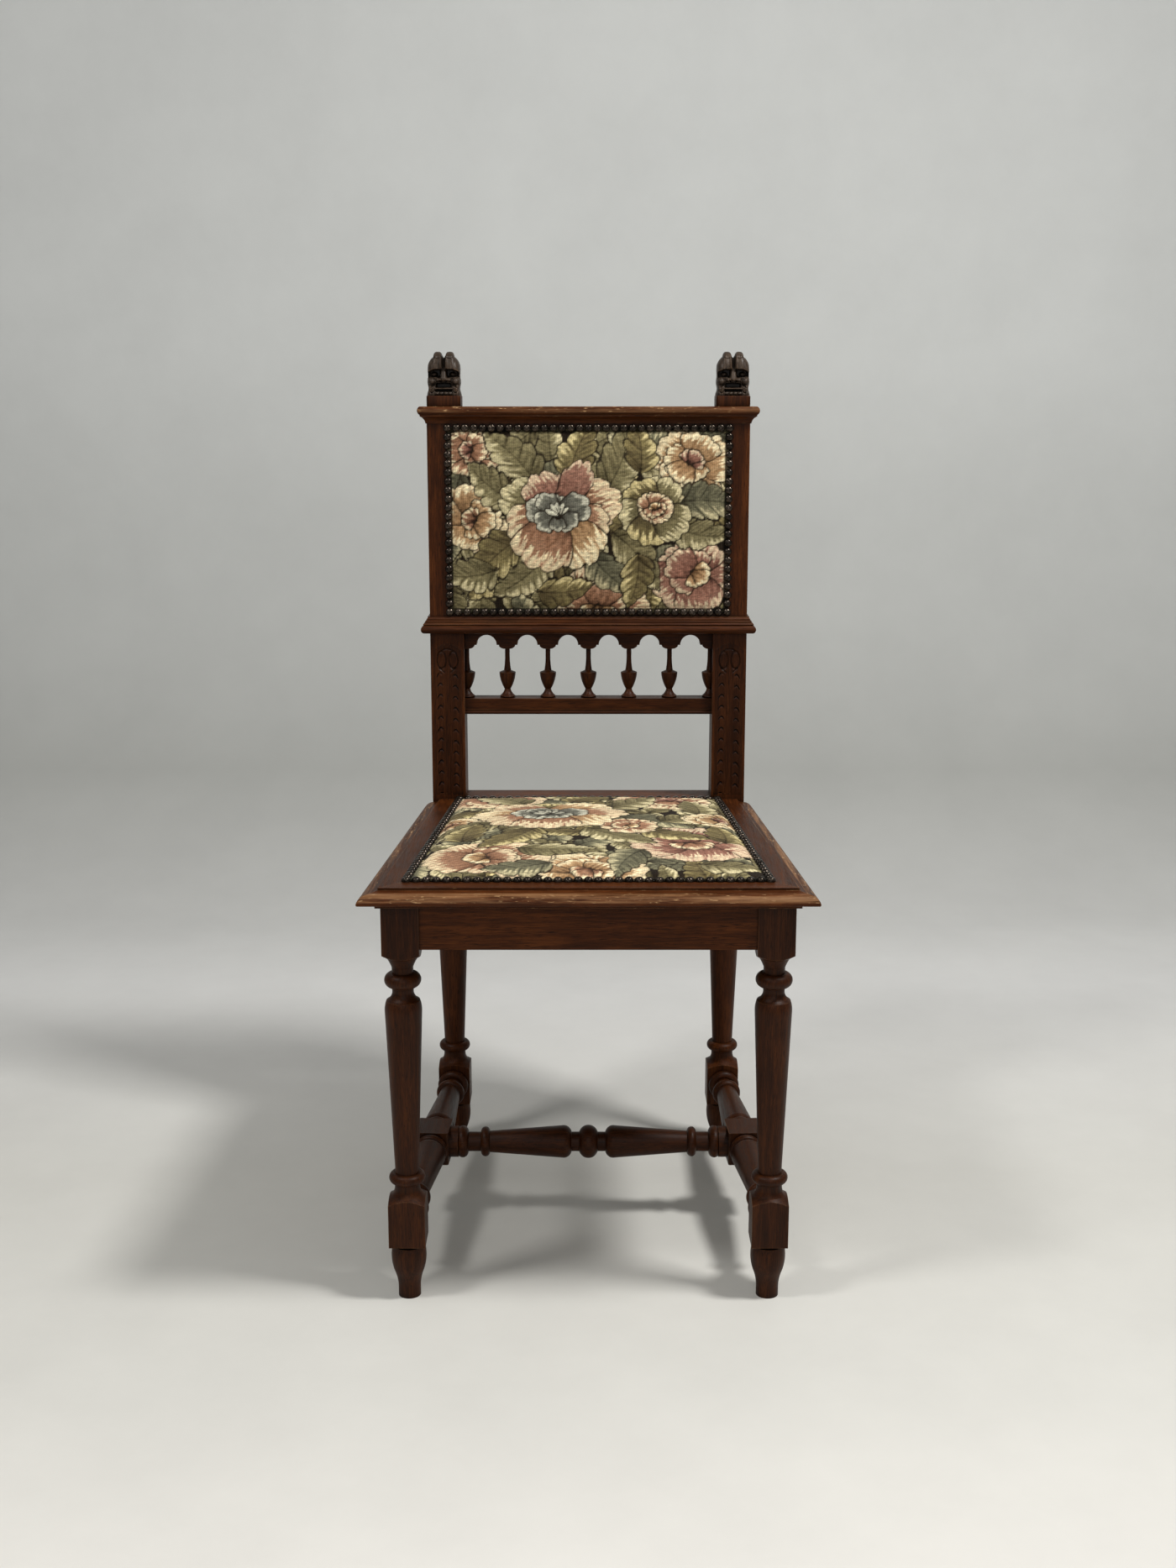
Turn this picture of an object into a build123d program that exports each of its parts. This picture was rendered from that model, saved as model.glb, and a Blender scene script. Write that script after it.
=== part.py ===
"""Carved dining chair with a nailed tapestry seat and back, made as separate joined pieces.

Millimetres. Z is up, the chair faces -Y, and X runs to the right seen from the front.
The origin lies on the floor under the middle of the chair.
"""
import os
from math import atan2, ceil, cos, hypot, sin, tan

from build123d import *

os.makedirs("parts", exist_ok=True)

# Fits
fit = 0.15  # room around tenons, dowels, pins and screws
soft_gap = 0.3  # room between stuffing and the cloth over it

# Plan of the legs
front_spread = 392.0  # between the front leg axes
leg_spacing = 399.0  # from the front leg axes back to the rear post axes
leg_block = 39.5  # side of the squared blocks
post_width = 41.0
post_depth = 48.0  # at the seat
post_top_depth = 38.0  # under the crest
back_lean = 10.0  # how far the post fronts fall back between seat and crest

# Turned legs, from the floor up
foot_tip_radius = 12.2
foot_tip_height = 11.0
foot_flare_radius = 16.2
foot_flare_height = 19.0
foot_radius = 19.0
foot_bulb_height = 30.0
foot_top_radius = 17.6
foot_neck_radius = 14.5
foot_neck_height = 3.5
low_block_height = 55.5
shoulder = 7.5  # length of the turned-away corners of a block
collar_radius = 16.8
low_cove_height = 9.0
low_neck_radius = 13.7
ring_radius = 19.6
ring_height = 12.0
ring_gap = 4.5
taper_low_radius = 12.9
taper_high_radius = 19.8
taper_round_height = 13.0
taper_round_radius = 17.9
high_neck_radius = 11.4
high_cove_height = 8.7
torus_radius = 19.6
torus_height = 16.0
neck_fillet = 6.0
collar_cove_height = 11.0
high_block_height = 60.0

# Seat frame and its moulded edge
floor_to_frame = 447.7
frame_thick = 21.3
frame_board = 75.0  # width of the moulded boards
front_overhang = 21.0  # nosing in front of the leg faces
side_overhang = 22.7  # nosing beside the front leg faces
rear_overhang = 10.3  # nosing beside the rear posts
back_board_reach = 37.0  # back board in front of the post faces
edge_step = 19.0  # from the nosing in to the flat top
quirk_drop = 2.4
hollow_drop = 1.9
nosing_set = 9.0
nosing_height = 10.7
nosing_round = 2.2
under_fillet_reach = 5.0  # fillet under the nosing, beyond the leg faces
rear_round = 11.0
rebate_width = 14.0
leg_dowel_radius = 7.0
leg_dowel_height = 12.0

# Seat rails below the frame
rail_height = 47.2
rail_thick = 22.0
rail_setback = 3.0  # rail faces behind the leg faces
back_rail_setback = 5.0
tenon_length = 13.0
tenon_thick = 9.0
tenon_shoulder = 5.5  # rail above and below its tenon
corner_reach = 50.0  # corner blocks along each rail
corner_height = 30.0
screw_radius = 2.1
screw_head_radius = 4.4
screw_head_height = 3.0
screw_bite = 12.0  # length of screw in the frame
screw_inset = 13.0  # screws from the faces of leg or post

# Stretchers
stretcher_height = 91.5
stretcher_block = 40.0
stretcher_block_length = 45.0
block_chamfer = 1.5
stretcher_tenon_radius = 8.0
stretcher_tenon_length = 14.0
bead_radius = 19.6
bead_length = 22.0
stretcher_neck_radius = 11.5
stretcher_neck_length = 9.0
bulb_radius = 19.0
bulb_round_length = 12.0
stretcher_taper_radius = 12.6
stretcher_ring_radius = 17.6
stretcher_ring_length = 10.5
end_neck_length = 15.0
end_disc_radius = 18.2
end_disc_length = 21.5
block_ring_length = 9.0
side_disc_length = 9.0

# Back, measured up the lean from the top of the seat frame
low_rail_low = 105.0
low_rail_height = 19.6
low_rail_thick = 27.0
low_rail_bead = 4.4
arcade_axis = 21.5  # spindle axes behind the post fronts
arcade_thick = 20.0
arch_count = 6
arch_pitch = 50.0
arcade_end = 2.0  # post faces beyond the axes of the half spindles
arch_radius = 12.3
arch_spring = 190.6
impost_step = 1.6
impost_half = 9.8
impost_round = 3.2
impost_foot_half = 3.9
spindle_neck_radius = 2.95
spindle_tenon_radius = 2.2
spindle_tenon_length = 7.0
spindle_foot_radius = 9.5
spindle_foot_edge = 2.6
spindle_waist_radius = 3.7
spindle_waist_height = 10.4
urn_radius = 10.0
urn_height = 30.0
urn_rim = 1.2
spindle_collar_radius = 4.4
spindle_collar_height = 33.6
spindle_sweep = 16.0  # from the collar up to the slender neck
middle_low = 206.8
middle_height = 20.2
middle_rail_height = 38.0
back_rail_thick = 22.0
top_rail_height = 31.0
crest_low = 457.5
crest_height = 20.0
moulding_reach = 10.5  # crest and middle mouldings beyond the post faces
moulding_edge = 1.2
reed_count = 2
reed_width = 2.2
reed_depth = 1.0
back_tenon_length = 14.0
back_tenon_thick = 9.0
back_tenon_shoulder = 4.0
back_rebate_width = 12.0
post_tenon = 18.0
post_tenon_rise = 10.0  # post tenons above the crest
panel_border = 5.0
panel_low = 7.0
panel_high = 192.0
panel_arch = 7.0
panel_depth = 2.5

# Carved finials
plinth_height = 12.5
head_height = 51.5
head_low_width = 36.0
head_wide_width = 39.0
head_wide_height = 22.0
head_top_width = 27.0
head_depth = 35.0
brow_radius = 9.6
tuft_radius = 7.2
nose_radius = 5.4
cheek_radius = 6.2
lip_radius = 3.0
lip_length = 26.0

# Upholstery
web_thick = 0.9
web_width = 48.0
seat_web_count = 4
back_web_count = 3
hessian_thick = 0.9
cover_thick = 1.6
cover_margin = 4.9  # cloth outside the nail line
cover_flat = 6.0  # flat cloth inside the nail line
stuffing_edge = 0.8
stuffing_set = 9.5  # stuffing inside the nail line
seat_crown = 12.0
back_crown = 8.0
crown_lift = 0.4  # extra rise of the cloth over its stuffing
lining_thick = 1.0
nail_radius = 4.95
nail_height = 3.6
nail_pitch = 10.6
seat_nail_inset = 44.0  # from the nosing in to the nail line
seat_nail_rear = 6.0  # rear nail line in front of the post faces
back_nail_inset = 4.0  # side nail lines inside the post axes
back_nail_gap = 5.2  # nail lines from the mouldings below and above

# Places worked out from the sizes above
leg_half = leg_block / 2
front_x = front_spread / 2
post_x = arch_count * arch_pitch / 2 + arcade_end + post_width / 2
post_inner = post_x - post_width / 2
post_outer = post_x + post_width / 2
frame_top = floor_to_frame + frame_thick
back_nail_half = post_x - back_nail_inset
back_nail_low = middle_low + middle_height + back_nail_gap
back_nail_high = crest_low - back_nail_gap
crest_top = crest_low + crest_height
plinth_top = crest_top + plinth_height
lean = atan2(back_lean, crest_low)
lean_sin = sin(lean)
lean_cos = cos(lean)
back_reach = plinth_top * lean_sin + post_top_depth * lean_cos
total_depth = front_overhang + leg_half + leg_spacing - leg_half + back_reach
nosing_y = -total_depth / 2
front_y = nosing_y + front_overhang + leg_half
rear_y = front_y + leg_spacing
post_front_y = rear_y - leg_half
post_back_y = post_front_y + post_depth
rebate_depth = 2 * web_thick + hessian_thick

# Planes of the leaning back: x and height on its face, or distance forward and height from its side
back = Plane(origin=(0, post_front_y, frame_top), x_dir=(1, 0, 0), z_dir=(0, -lean_cos, lean_sin))
back_side = Plane(origin=back.origin, x_dir=back.z_dir, z_dir=(-1, 0, 0))


def keep(piece, name):
    """Label a finished piece and write it to its own file."""
    piece.part.label = name
    export_step(piece.part, f"parts/{name}.step")


def upright(x, y):
    """Plane through a vertical axis, for profiles of radius and height."""
    return Plane(origin=(x, y, 0), x_dir=(1, 0, 0), z_dir=(0, -1, 0))


def squared_block(x, y, width, depth, low, high, round_low, round_high):
    """Squared length of a leg, flush in front, its corners turned away where it meets the turning."""
    corner = hypot(width / 2, depth - leg_half) + 1
    low_radius = collar_radius if round_low else corner
    high_radius = collar_radius if round_high else corner
    with BuildPart() as block:
        with BuildSketch(Plane.XY.offset(low)):
            with Locations((x, y - leg_half)):
                Rectangle(width, depth, align=(Align.CENTER, Align.MIN))
        extrude(amount=high - low)
        with BuildSketch(upright(x, y)):
            with BuildLine():
                Polyline((low_radius, low), (0, low), (0, high), (high_radius, high))
                Line((high_radius, high), (corner, high - shoulder))
                Line((corner, high - shoulder), (corner, low + shoulder))
                Line((corner, low + shoulder), (low_radius, low))
            make_face()
        revolve(axis=Axis((x, y, 0), (0, 0, 1)), mode=Mode.INTERSECT)
    return block.part


# Heights of the turned leg
foot_bulb_low = foot_tip_height + foot_flare_height
foot_high = foot_bulb_low + foot_bulb_height
low_block_low = foot_high + foot_neck_height
low_block_high = low_block_low + low_block_height
ring_low = low_block_high + low_cove_height + ring_gap
ring_high = ring_low + ring_height
taper_low = ring_high + ring_gap
high_block_low = floor_to_frame - high_block_height
torus_high = high_block_low - collar_cove_height - neck_fillet
torus_low = torus_high - torus_height
taper_top = torus_low - neck_fillet - high_cove_height - taper_round_height


def turned_leg(x, y):
    """Foot, lower block and turned shaft, up to the underside of the upper block."""
    cove_high = low_block_high + low_cove_height
    round_high = taper_top + taper_round_height
    cove_top = round_high + high_cove_height
    collar_low = high_block_low - collar_cove_height
    cove_radius = (taper_round_radius + high_neck_radius) / 2 - 1
    with BuildPart() as leg:
        with BuildSketch(upright(x, y)):
            with BuildLine():
                Polyline((0, foot_high), (0, 0), (foot_tip_radius, 0), (foot_tip_radius, foot_tip_height))
                ThreePointArc(
                    (foot_tip_radius, foot_tip_height),
                    (
                        0.72 * foot_tip_radius + 0.28 * foot_flare_radius,
                        (foot_tip_height + foot_bulb_low) / 2,
                    ),
                    (foot_flare_radius, foot_bulb_low),
                )
                ThreePointArc(
                    (foot_flare_radius, foot_bulb_low),
                    (foot_radius, (foot_bulb_low + foot_high) / 2),
                    (foot_top_radius, foot_high),
                )
                Line((foot_top_radius, foot_high), (0, foot_high))
            make_face()
        revolve(axis=Axis((x, y, 0), (0, 0, 1)))
        with BuildSketch(upright(x, y)):
            with BuildLine():
                Polyline((collar_radius, low_block_high), (0, low_block_high), (0, high_block_low))
                Line((0, high_block_low), (collar_radius, high_block_low))
                ThreePointArc(
                    (collar_radius, high_block_low),
                    ((collar_radius + high_neck_radius) / 2 - 1, high_block_low - 0.6 * collar_cove_height),
                    (high_neck_radius, collar_low),
                )
                Line((high_neck_radius, collar_low), (high_neck_radius, torus_high))
                ThreePointArc(
                    (high_neck_radius, torus_high),
                    (torus_radius, (torus_low + torus_high) / 2),
                    (high_neck_radius, torus_low),
                )
                Line((high_neck_radius, torus_low), (high_neck_radius, cove_top))
                ThreePointArc(
                    (high_neck_radius, cove_top),
                    (cove_radius, round_high + 0.4 * high_cove_height),
                    (taper_round_radius, round_high),
                )
                ThreePointArc(
                    (taper_round_radius, round_high),
                    (
                        0.25 * taper_round_radius + 0.75 * taper_high_radius,
                        taper_top + 0.6 * taper_round_height,
                    ),
                    (taper_high_radius, taper_top),
                )
                Line((taper_high_radius, taper_top), (taper_low_radius, taper_low))
                Line((taper_low_radius, taper_low), (taper_low_radius, ring_high))
                ThreePointArc(
                    (taper_low_radius, ring_high),
                    (ring_radius, (ring_low + ring_high) / 2),
                    (low_neck_radius, ring_low),
                )
                Line((low_neck_radius, ring_low), (low_neck_radius, cove_high))
                ThreePointArc(
                    (low_neck_radius, cove_high),
                    (0.7 * low_neck_radius + 0.3 * collar_radius, low_block_high + 0.4 * low_cove_height),
                    (collar_radius, low_block_high),
                )
            make_face()
        revolve(axis=Axis((x, y, 0), (0, 0, 1)))
        with Locations((x, y, foot_high)):
            Cylinder(foot_neck_radius, foot_neck_height, align=(Align.CENTER, Align.CENTER, Align.MIN))
        add(squared_block(x, y, leg_block, leg_block, low_block_low, low_block_high, False, True))
    return leg.part


# Side lines of the seat, which narrows towards the back
rail_low = floor_to_frame - rail_height
side_run_low = front_y + leg_half
side_run_high = post_front_y
rail_out_low = front_x + leg_half - rail_setback
rail_out_high = post_outer - rail_setback
rail_slope = (rail_out_high - rail_out_low) / (side_run_high - side_run_low)


def rail_x(y, inset):
    """X of a line along the right seat rail, a distance in from its outer face."""
    return rail_out_low + rail_slope * (y - side_run_low) - inset


def side_bar(inset_low, inset_high, y_low, y_high, low, high):
    """Straight bar that follows the right seat rail, between two insets from its outer face."""
    with BuildPart() as bar:
        with BuildSketch(Plane.XY.offset(low)):
            with BuildLine():
                Polyline(
                    (rail_x(y_low, inset_low), y_low),
                    (rail_x(y_high, inset_low), y_high),
                    (rail_x(y_high, inset_high), y_high),
                    (rail_x(y_low, inset_high), y_low),
                    close=True,
                )
            make_face()
        extrude(amount=high - low)
    return bar.part


tenon_inset = (rail_thick - tenon_thick) / 2
front_rail_y = front_y - leg_half + rail_setback + rail_thick / 2
back_rail_y = post_back_y - back_rail_setback - rail_thick / 2


def side_tenons(grow):
    """Both tenons of the right seat rail as one bar, or its mortises when grown by the fit."""
    return side_bar(
        tenon_inset - grow,
        tenon_inset + tenon_thick + grow,
        side_run_low - tenon_length - grow,
        side_run_high + tenon_length + grow,
        rail_low + tenon_shoulder - grow,
        floor_to_frame - tenon_shoulder + grow,
    )


def cross_tenons(half_length, y, grow):
    """Both tenons of the front or back seat rail as one bar, or its mortises when grown by the fit."""
    with BuildPart() as bar:
        with Locations((0, y, (rail_low + floor_to_frame) / 2)):
            Box(
                2 * (half_length + tenon_length + grow),
                tenon_thick + 2 * grow,
                rail_height - 2 * tenon_shoulder + 2 * grow,
            )
    return bar.part


# Axis of the right side stretcher, from the front leg to the rear post
stretcher_run = Vector(post_x - front_x, leg_spacing, 0)
stretcher_dir = stretcher_run.normalized()
stretcher_in = Vector(-stretcher_dir.Y, stretcher_dir.X, 0)
stretcher_start = Vector(front_x, front_y, stretcher_height)
stretcher_mid = stretcher_start + stretcher_run * 0.5
stretcher_along = Plane(origin=stretcher_mid, x_dir=stretcher_dir, z_dir=(0, 0, 1))
stretcher_clear = (leg_spacing / 2 - leg_half) / stretcher_dir.Y  # middle of the stretcher to the leg face


def stretcher_tenons(radius, grow):
    """Round bar on the stretcher axis that reaches into both legs."""
    reach = stretcher_clear + stretcher_tenon_length + grow
    with BuildPart() as bar:
        with BuildSketch(Plane(origin=stretcher_mid - stretcher_dir * reach, z_dir=stretcher_dir)):
            Circle(radius + grow)
        extrude(amount=2 * reach)
    return bar.part


def cross_stretcher_tenon(grow):
    """Round bar through both side stretcher blocks, on the cross stretcher axis."""
    reach = stretcher_mid.X - stretcher_block / 2 + stretcher_tenon_length + grow
    with BuildPart() as bar:
        with BuildSketch(Plane(origin=(-reach, stretcher_mid.Y, stretcher_height), z_dir=(1, 0, 0))):
            Circle(stretcher_tenon_radius + grow)
        extrude(amount=2 * reach)
    return bar.part


# Front legs
front_leg_low = turned_leg(front_x, front_y)
front_leg_high = squared_block(
    front_x, front_y, leg_block, leg_block, high_block_low, floor_to_frame, True, False
)
front_mortises = cross_tenons(front_x - leg_half, front_rail_y, fit)
side_mortises = side_tenons(fit)
stretcher_mortises = stretcher_tenons(stretcher_tenon_radius, fit)
with BuildPart() as front_leg_right:
    add(front_leg_low)
    add(front_leg_high)
    with Locations((front_x, front_y, floor_to_frame)):
        Cylinder(leg_dowel_radius, leg_dowel_height, align=(Align.CENTER, Align.CENTER, Align.MIN))
    add(front_mortises, mode=Mode.SUBTRACT)
    add(side_mortises, mode=Mode.SUBTRACT)
    add(stretcher_mortises, mode=Mode.SUBTRACT)
with BuildPart() as front_leg_left:
    mirror(front_leg_right.part, about=Plane.YZ)

# Seat rails
front_rail_tenons = cross_tenons(front_x - leg_half, front_rail_y, 0)
back_rail_tenons = cross_tenons(post_inner, back_rail_y, 0)
side_rail_body = side_bar(0, rail_thick, side_run_low, side_run_high, rail_low, floor_to_frame)
side_rail_tenons = side_tenons(0)
with BuildPart() as seat_rail_front:
    with Locations((0, front_rail_y, rail_low + rail_height / 2)):
        Box(2 * (front_x - leg_half), rail_thick, rail_height)
    add(front_rail_tenons)
with BuildPart() as seat_rail_back:
    with Locations((0, back_rail_y, rail_low + rail_height / 2)):
        Box(2 * post_inner, rail_thick, rail_height)
    add(back_rail_tenons)
with BuildPart() as seat_rail_right:
    add(side_rail_body)
    add(side_rail_tenons)
with BuildPart() as seat_rail_left:
    mirror(seat_rail_right.part, about=Plane.YZ)

# Corner blocks glued inside the seat rails, each with a screw up into the moulded frame
corner_low = floor_to_frame - corner_height
front_inner_y = front_rail_y + rail_thick / 2
back_inner_y = back_rail_y - rail_thick / 2
front_screw = (front_x - leg_half - screw_inset, front_y + leg_half - screw_inset / 2)
rear_screw = (post_inner - screw_inset / 2, post_front_y - screw_inset)
screw_places = [
    (sign * place[0], place[1], corner_low) for place in (front_screw, rear_screw) for sign in (-1, 1)
]


def corner_block(face_y, notch_x, notch_y, toward):
    """Block in a right corner: glued to a cross rail and a side rail, and notched round the leg."""
    notch = notch_x - fit
    notch_line = notch_y + toward * fit
    far = notch_y + toward * corner_reach
    with BuildPart() as block:
        with BuildSketch(Plane.XY.offset(corner_low)):
            with BuildLine():
                Polyline(
                    (notch - corner_reach, face_y),
                    (notch, face_y),
                    (notch, notch_line),
                    (rail_x(notch_line, rail_thick), notch_line),
                    (rail_x(far, rail_thick), far),
                    close=True,
                )
            make_face()
        extrude(amount=corner_height)
        with Locations(*screw_places):
            Cylinder(screw_radius + fit, corner_height, align=(Align.CENTER, Align.CENTER, Align.MIN),
                     mode=Mode.SUBTRACT)
            Cylinder(screw_head_radius + fit, screw_head_height + fit,
                     align=(Align.CENTER, Align.CENTER, Align.MIN), mode=Mode.SUBTRACT)
    return block.part


front_corner = corner_block(front_inner_y, front_x - leg_half, side_run_low, 1)
rear_corner = corner_block(back_inner_y, post_inner, side_run_high, -1)
with BuildPart() as corner_block_front_right:
    add(front_corner)
with BuildPart() as corner_block_front_left:
    mirror(front_corner, about=Plane.YZ)
with BuildPart() as corner_block_rear_right:
    add(rear_corner)
with BuildPart() as corner_block_rear_left:
    mirror(rear_corner, about=Plane.YZ)
with BuildPart() as corner_block_screws:
    with Locations(*screw_places):
        Cylinder(screw_head_radius, screw_head_height, align=(Align.CENTER, Align.CENTER, Align.MIN))
        Cylinder(screw_radius, corner_height + screw_bite, align=(Align.CENTER, Align.CENTER, Align.MIN))

# Corners of the seat outline and of its nail line
seat_front_half = front_x + leg_half + side_overhang
seat_rear_half = post_outer + rear_overhang
seat_skew = atan2(seat_front_half - seat_rear_half, post_front_y - nosing_y)


def seat_edge(y, inset):
    """X of a line along the right edge of the seat, a distance in from its nosing."""
    return seat_front_half - (y - nosing_y) * tan(seat_skew) - inset / cos(seat_skew)


nail_front_y = nosing_y + seat_nail_inset
nail_rear_y = post_front_y - seat_nail_rear
seat_plane = Plane.XY.offset(frame_top)


def spaced(start, end):
    """Places of close-set nails from one corner to the next, without the last."""
    count = ceil((end - start).length / nail_pitch)
    return [start + (end - start) * (i / count) for i in range(count)]


def nail_loop(corners):
    """Places of the nails round a closed nail line."""
    places = []
    for start, end in zip(corners, corners[1:] + corners[:1]):
        places += spaced(Vector(*start), Vector(*end))
    return places


seat_nail_corners = [
    (-seat_edge(nail_front_y, seat_nail_inset), nail_front_y),
    (seat_edge(nail_front_y, seat_nail_inset), nail_front_y),
    (seat_edge(nail_rear_y, seat_nail_inset), nail_rear_y),
    (-seat_edge(nail_rear_y, seat_nail_inset), nail_rear_y),
]
back_nail_corners = [
    (-back_nail_half, back_nail_low),
    (back_nail_half, back_nail_low),
    (back_nail_half, back_nail_high),
    (-back_nail_half, back_nail_high),
]
seat_nail_places = nail_loop(seat_nail_corners)
back_nail_places = nail_loop(back_nail_corners)


def frame_section(plane):
    """Section of the moulded seat board: distance in from the nosing, and height."""
    rebate_at = frame_board - rebate_width
    fillet_at = front_overhang - under_fillet_reach
    hollow_low = frame_top - quirk_drop - hollow_drop
    nosing_low = hollow_low - nosing_height
    with BuildSketch(plane) as section:
        with BuildLine():
            Polyline(
                (edge_step, frame_top - quirk_drop),
                (edge_step, frame_top),
                (rebate_at, frame_top),
                (rebate_at, frame_top - rebate_depth),
                (frame_board, frame_top - rebate_depth),
                (frame_board, floor_to_frame),
                (fillet_at, floor_to_frame),
                (fillet_at, nosing_low),
                (nosing_round, nosing_low),
            )
            ThreePointArc(
                (nosing_round, nosing_low),
                (0.25 * nosing_round, nosing_low + 0.3 * nosing_round),
                (0, nosing_low + nosing_round),
            )
            ThreePointArc(
                (0, nosing_low + nosing_round),
                (0.3 * nosing_set, nosing_low + 0.72 * nosing_height),
                (nosing_set, hollow_low),
            )
            ThreePointArc(
                (nosing_set, hollow_low),
                (0.55 * nosing_set + 0.45 * edge_step, hollow_low + 0.22 * hollow_drop),
                (edge_step, frame_top - quirk_drop),
            )
        make_face()
    return section.sketch


# Moulded seat frame, mitred at the front corners
mitre = Plane(
    origin=(seat_front_half, nosing_y, 0),
    x_dir=(0, 0, 1),
    z_dir=(cos(seat_skew), 1 + sin(seat_skew), 0),
)
mitre_left = Plane(
    origin=(-seat_front_half, nosing_y, 0),
    x_dir=(0, 0, 1),
    z_dir=(-cos(seat_skew), 1 + sin(seat_skew), 0),
)
side_edge_dir = (-sin(seat_skew), cos(seat_skew), 0)
side_inward = (-cos(seat_skew), -sin(seat_skew), 0)
side_length = (post_front_y - nosing_y) / cos(seat_skew)

with BuildPart() as frame_screw_holes:
    with Locations(*screw_places):
        Cylinder(screw_radius + fit, corner_height + screw_bite + fit,
                 align=(Align.CENTER, Align.CENTER, Align.MIN))
with BuildPart() as leg_dowel_holes:
    with Locations((front_x, front_y, floor_to_frame), (-front_x, front_y, floor_to_frame)):
        Cylinder(leg_dowel_radius + fit, leg_dowel_height + fit,
                 align=(Align.CENTER, Align.CENTER, Align.MIN))

front_section = frame_section(Plane(origin=(0, nosing_y, 0), x_dir=(0, 1, 0), z_dir=(1, 0, 0)))
side_section = frame_section(
    Plane(origin=(seat_front_half, nosing_y, 0), x_dir=side_inward, z_dir=side_edge_dir)
)
with BuildPart() as seat_frame_front:
    extrude(front_section, amount=seat_front_half, both=True)
    split(bisect_by=mitre, keep=Keep.BOTTOM)
    split(bisect_by=mitre_left, keep=Keep.BOTTOM)
    add(leg_dowel_holes.part, mode=Mode.SUBTRACT)
    add(frame_screw_holes.part, mode=Mode.SUBTRACT)
with BuildPart() as seat_frame_right:
    extrude(side_section, amount=side_length + frame_board)
    split(bisect_by=mitre, keep=Keep.TOP)
    split(bisect_by=Plane(origin=(0, post_front_y, 0), z_dir=(0, 1, 0)), keep=Keep.BOTTOM)
    with BuildSketch(Plane.XY.offset(floor_to_frame)):
        with BuildLine():
            round_y = post_front_y - rear_round
            corner = (seat_rear_half + 1, post_front_y + 1)
            Polyline((seat_edge(round_y, 0) + 1, round_y), corner, (post_outer, post_front_y + 1))
            Line((post_outer, post_front_y + 1), (post_outer, post_front_y))
            ThreePointArc(
                (post_outer, post_front_y),
                (post_outer + 0.72 * rear_overhang, post_front_y - 0.3 * rear_round),
                (seat_edge(round_y, 0), round_y),
            )
            Line((seat_edge(round_y, 0), round_y), (seat_edge(round_y, 0) + 1, round_y))
        make_face()
    extrude(amount=frame_thick, mode=Mode.SUBTRACT)
    add(leg_dowel_holes.part, mode=Mode.SUBTRACT)
    add(frame_screw_holes.part, mode=Mode.SUBTRACT)
with BuildPart() as seat_frame_left:
    mirror(seat_frame_right.part, about=Plane.YZ)
with BuildPart() as seat_frame_back:
    back_board_low = post_front_y - back_board_reach
    with BuildSketch(Plane.XY.offset(floor_to_frame)):
        with BuildLine():
            Polyline(
                (seat_edge(back_board_low, frame_board), back_board_low),
                (seat_edge(post_front_y, frame_board), post_front_y),
                (post_inner - fit, post_front_y),
                (post_inner - fit, post_back_y),
                (0, post_back_y),
                (0, back_board_low),
                close=True,
            )
        make_face()
        mirror(about=Plane.YZ)
    extrude(amount=frame_thick)
    with BuildSketch(seat_plane):
        with Locations((0, back_board_low + rebate_width / 2)):
            Rectangle(2 * seat_front_half, rebate_width)
    extrude(amount=-rebate_depth, mode=Mode.SUBTRACT)


def back_bar(low, high, face, thick, half_length):
    """Bar across the back: heights up the lean, distance of its face behind the post fronts."""
    with BuildPart() as bar:
        with BuildSketch(back.offset(-face)):
            with Locations((0, (low + high) / 2)):
                Rectangle(2 * half_length, high - low)
        extrude(amount=-thick)
    return bar.part


def back_tenons(low, high, face, thick, grow):
    """Both tenons of a rail of the back as one bar, or its mortises when grown by the fit."""
    inset = (thick - back_tenon_thick) / 2
    return back_bar(
        low + back_tenon_shoulder - grow,
        high - back_tenon_shoulder + grow,
        face + inset - grow,
        back_tenon_thick + 2 * grow,
        post_inner + back_tenon_length + grow,
    )


low_rail_high = low_rail_low + low_rail_height
low_rail_face = arcade_axis - low_rail_thick / 2
arcade_face = arcade_axis - arcade_thick / 2
middle_high = middle_low + middle_height
middle_rail_high = middle_low + middle_rail_height
top_rail_low = crest_low - top_rail_height
back_rails = {
    "lower_back_rail": (low_rail_low, low_rail_high, low_rail_face, low_rail_thick),
    "arcade_rail": (arch_spring, middle_low, arcade_face, arcade_thick),
    "middle_rail": (middle_low, middle_rail_high, 0, back_rail_thick),
    "back_top_rail": (top_rail_low, crest_low, 0, back_rail_thick),
}


def back_rebate():
    """Shallow recess round the opening of the back, where the webbing and hessian are tacked."""
    with BuildPart() as recess:
        with BuildSketch(back):
            with Locations((0, (middle_rail_high + top_rail_low) / 2)):
                Rectangle(
                    2 * (post_inner + back_rebate_width),
                    top_rail_low - middle_rail_high + 2 * back_rebate_width,
                )
        extrude(amount=-rebate_depth)
    return recess.part


def post_tenon_bar(grow):
    """Square tenon on top of the right post, through the crest and into the finial."""
    with BuildPart() as bar:
        with BuildSketch(back.offset(-(post_top_depth - post_tenon) / 2 + grow)):
            with Locations((post_x, (crest_low + crest_top + post_tenon_rise + grow) / 2)):
                Rectangle(post_tenon + 2 * grow, crest_height + post_tenon_rise + grow)
        extrude(amount=-(post_tenon + 2 * grow))
    return bar.part


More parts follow.
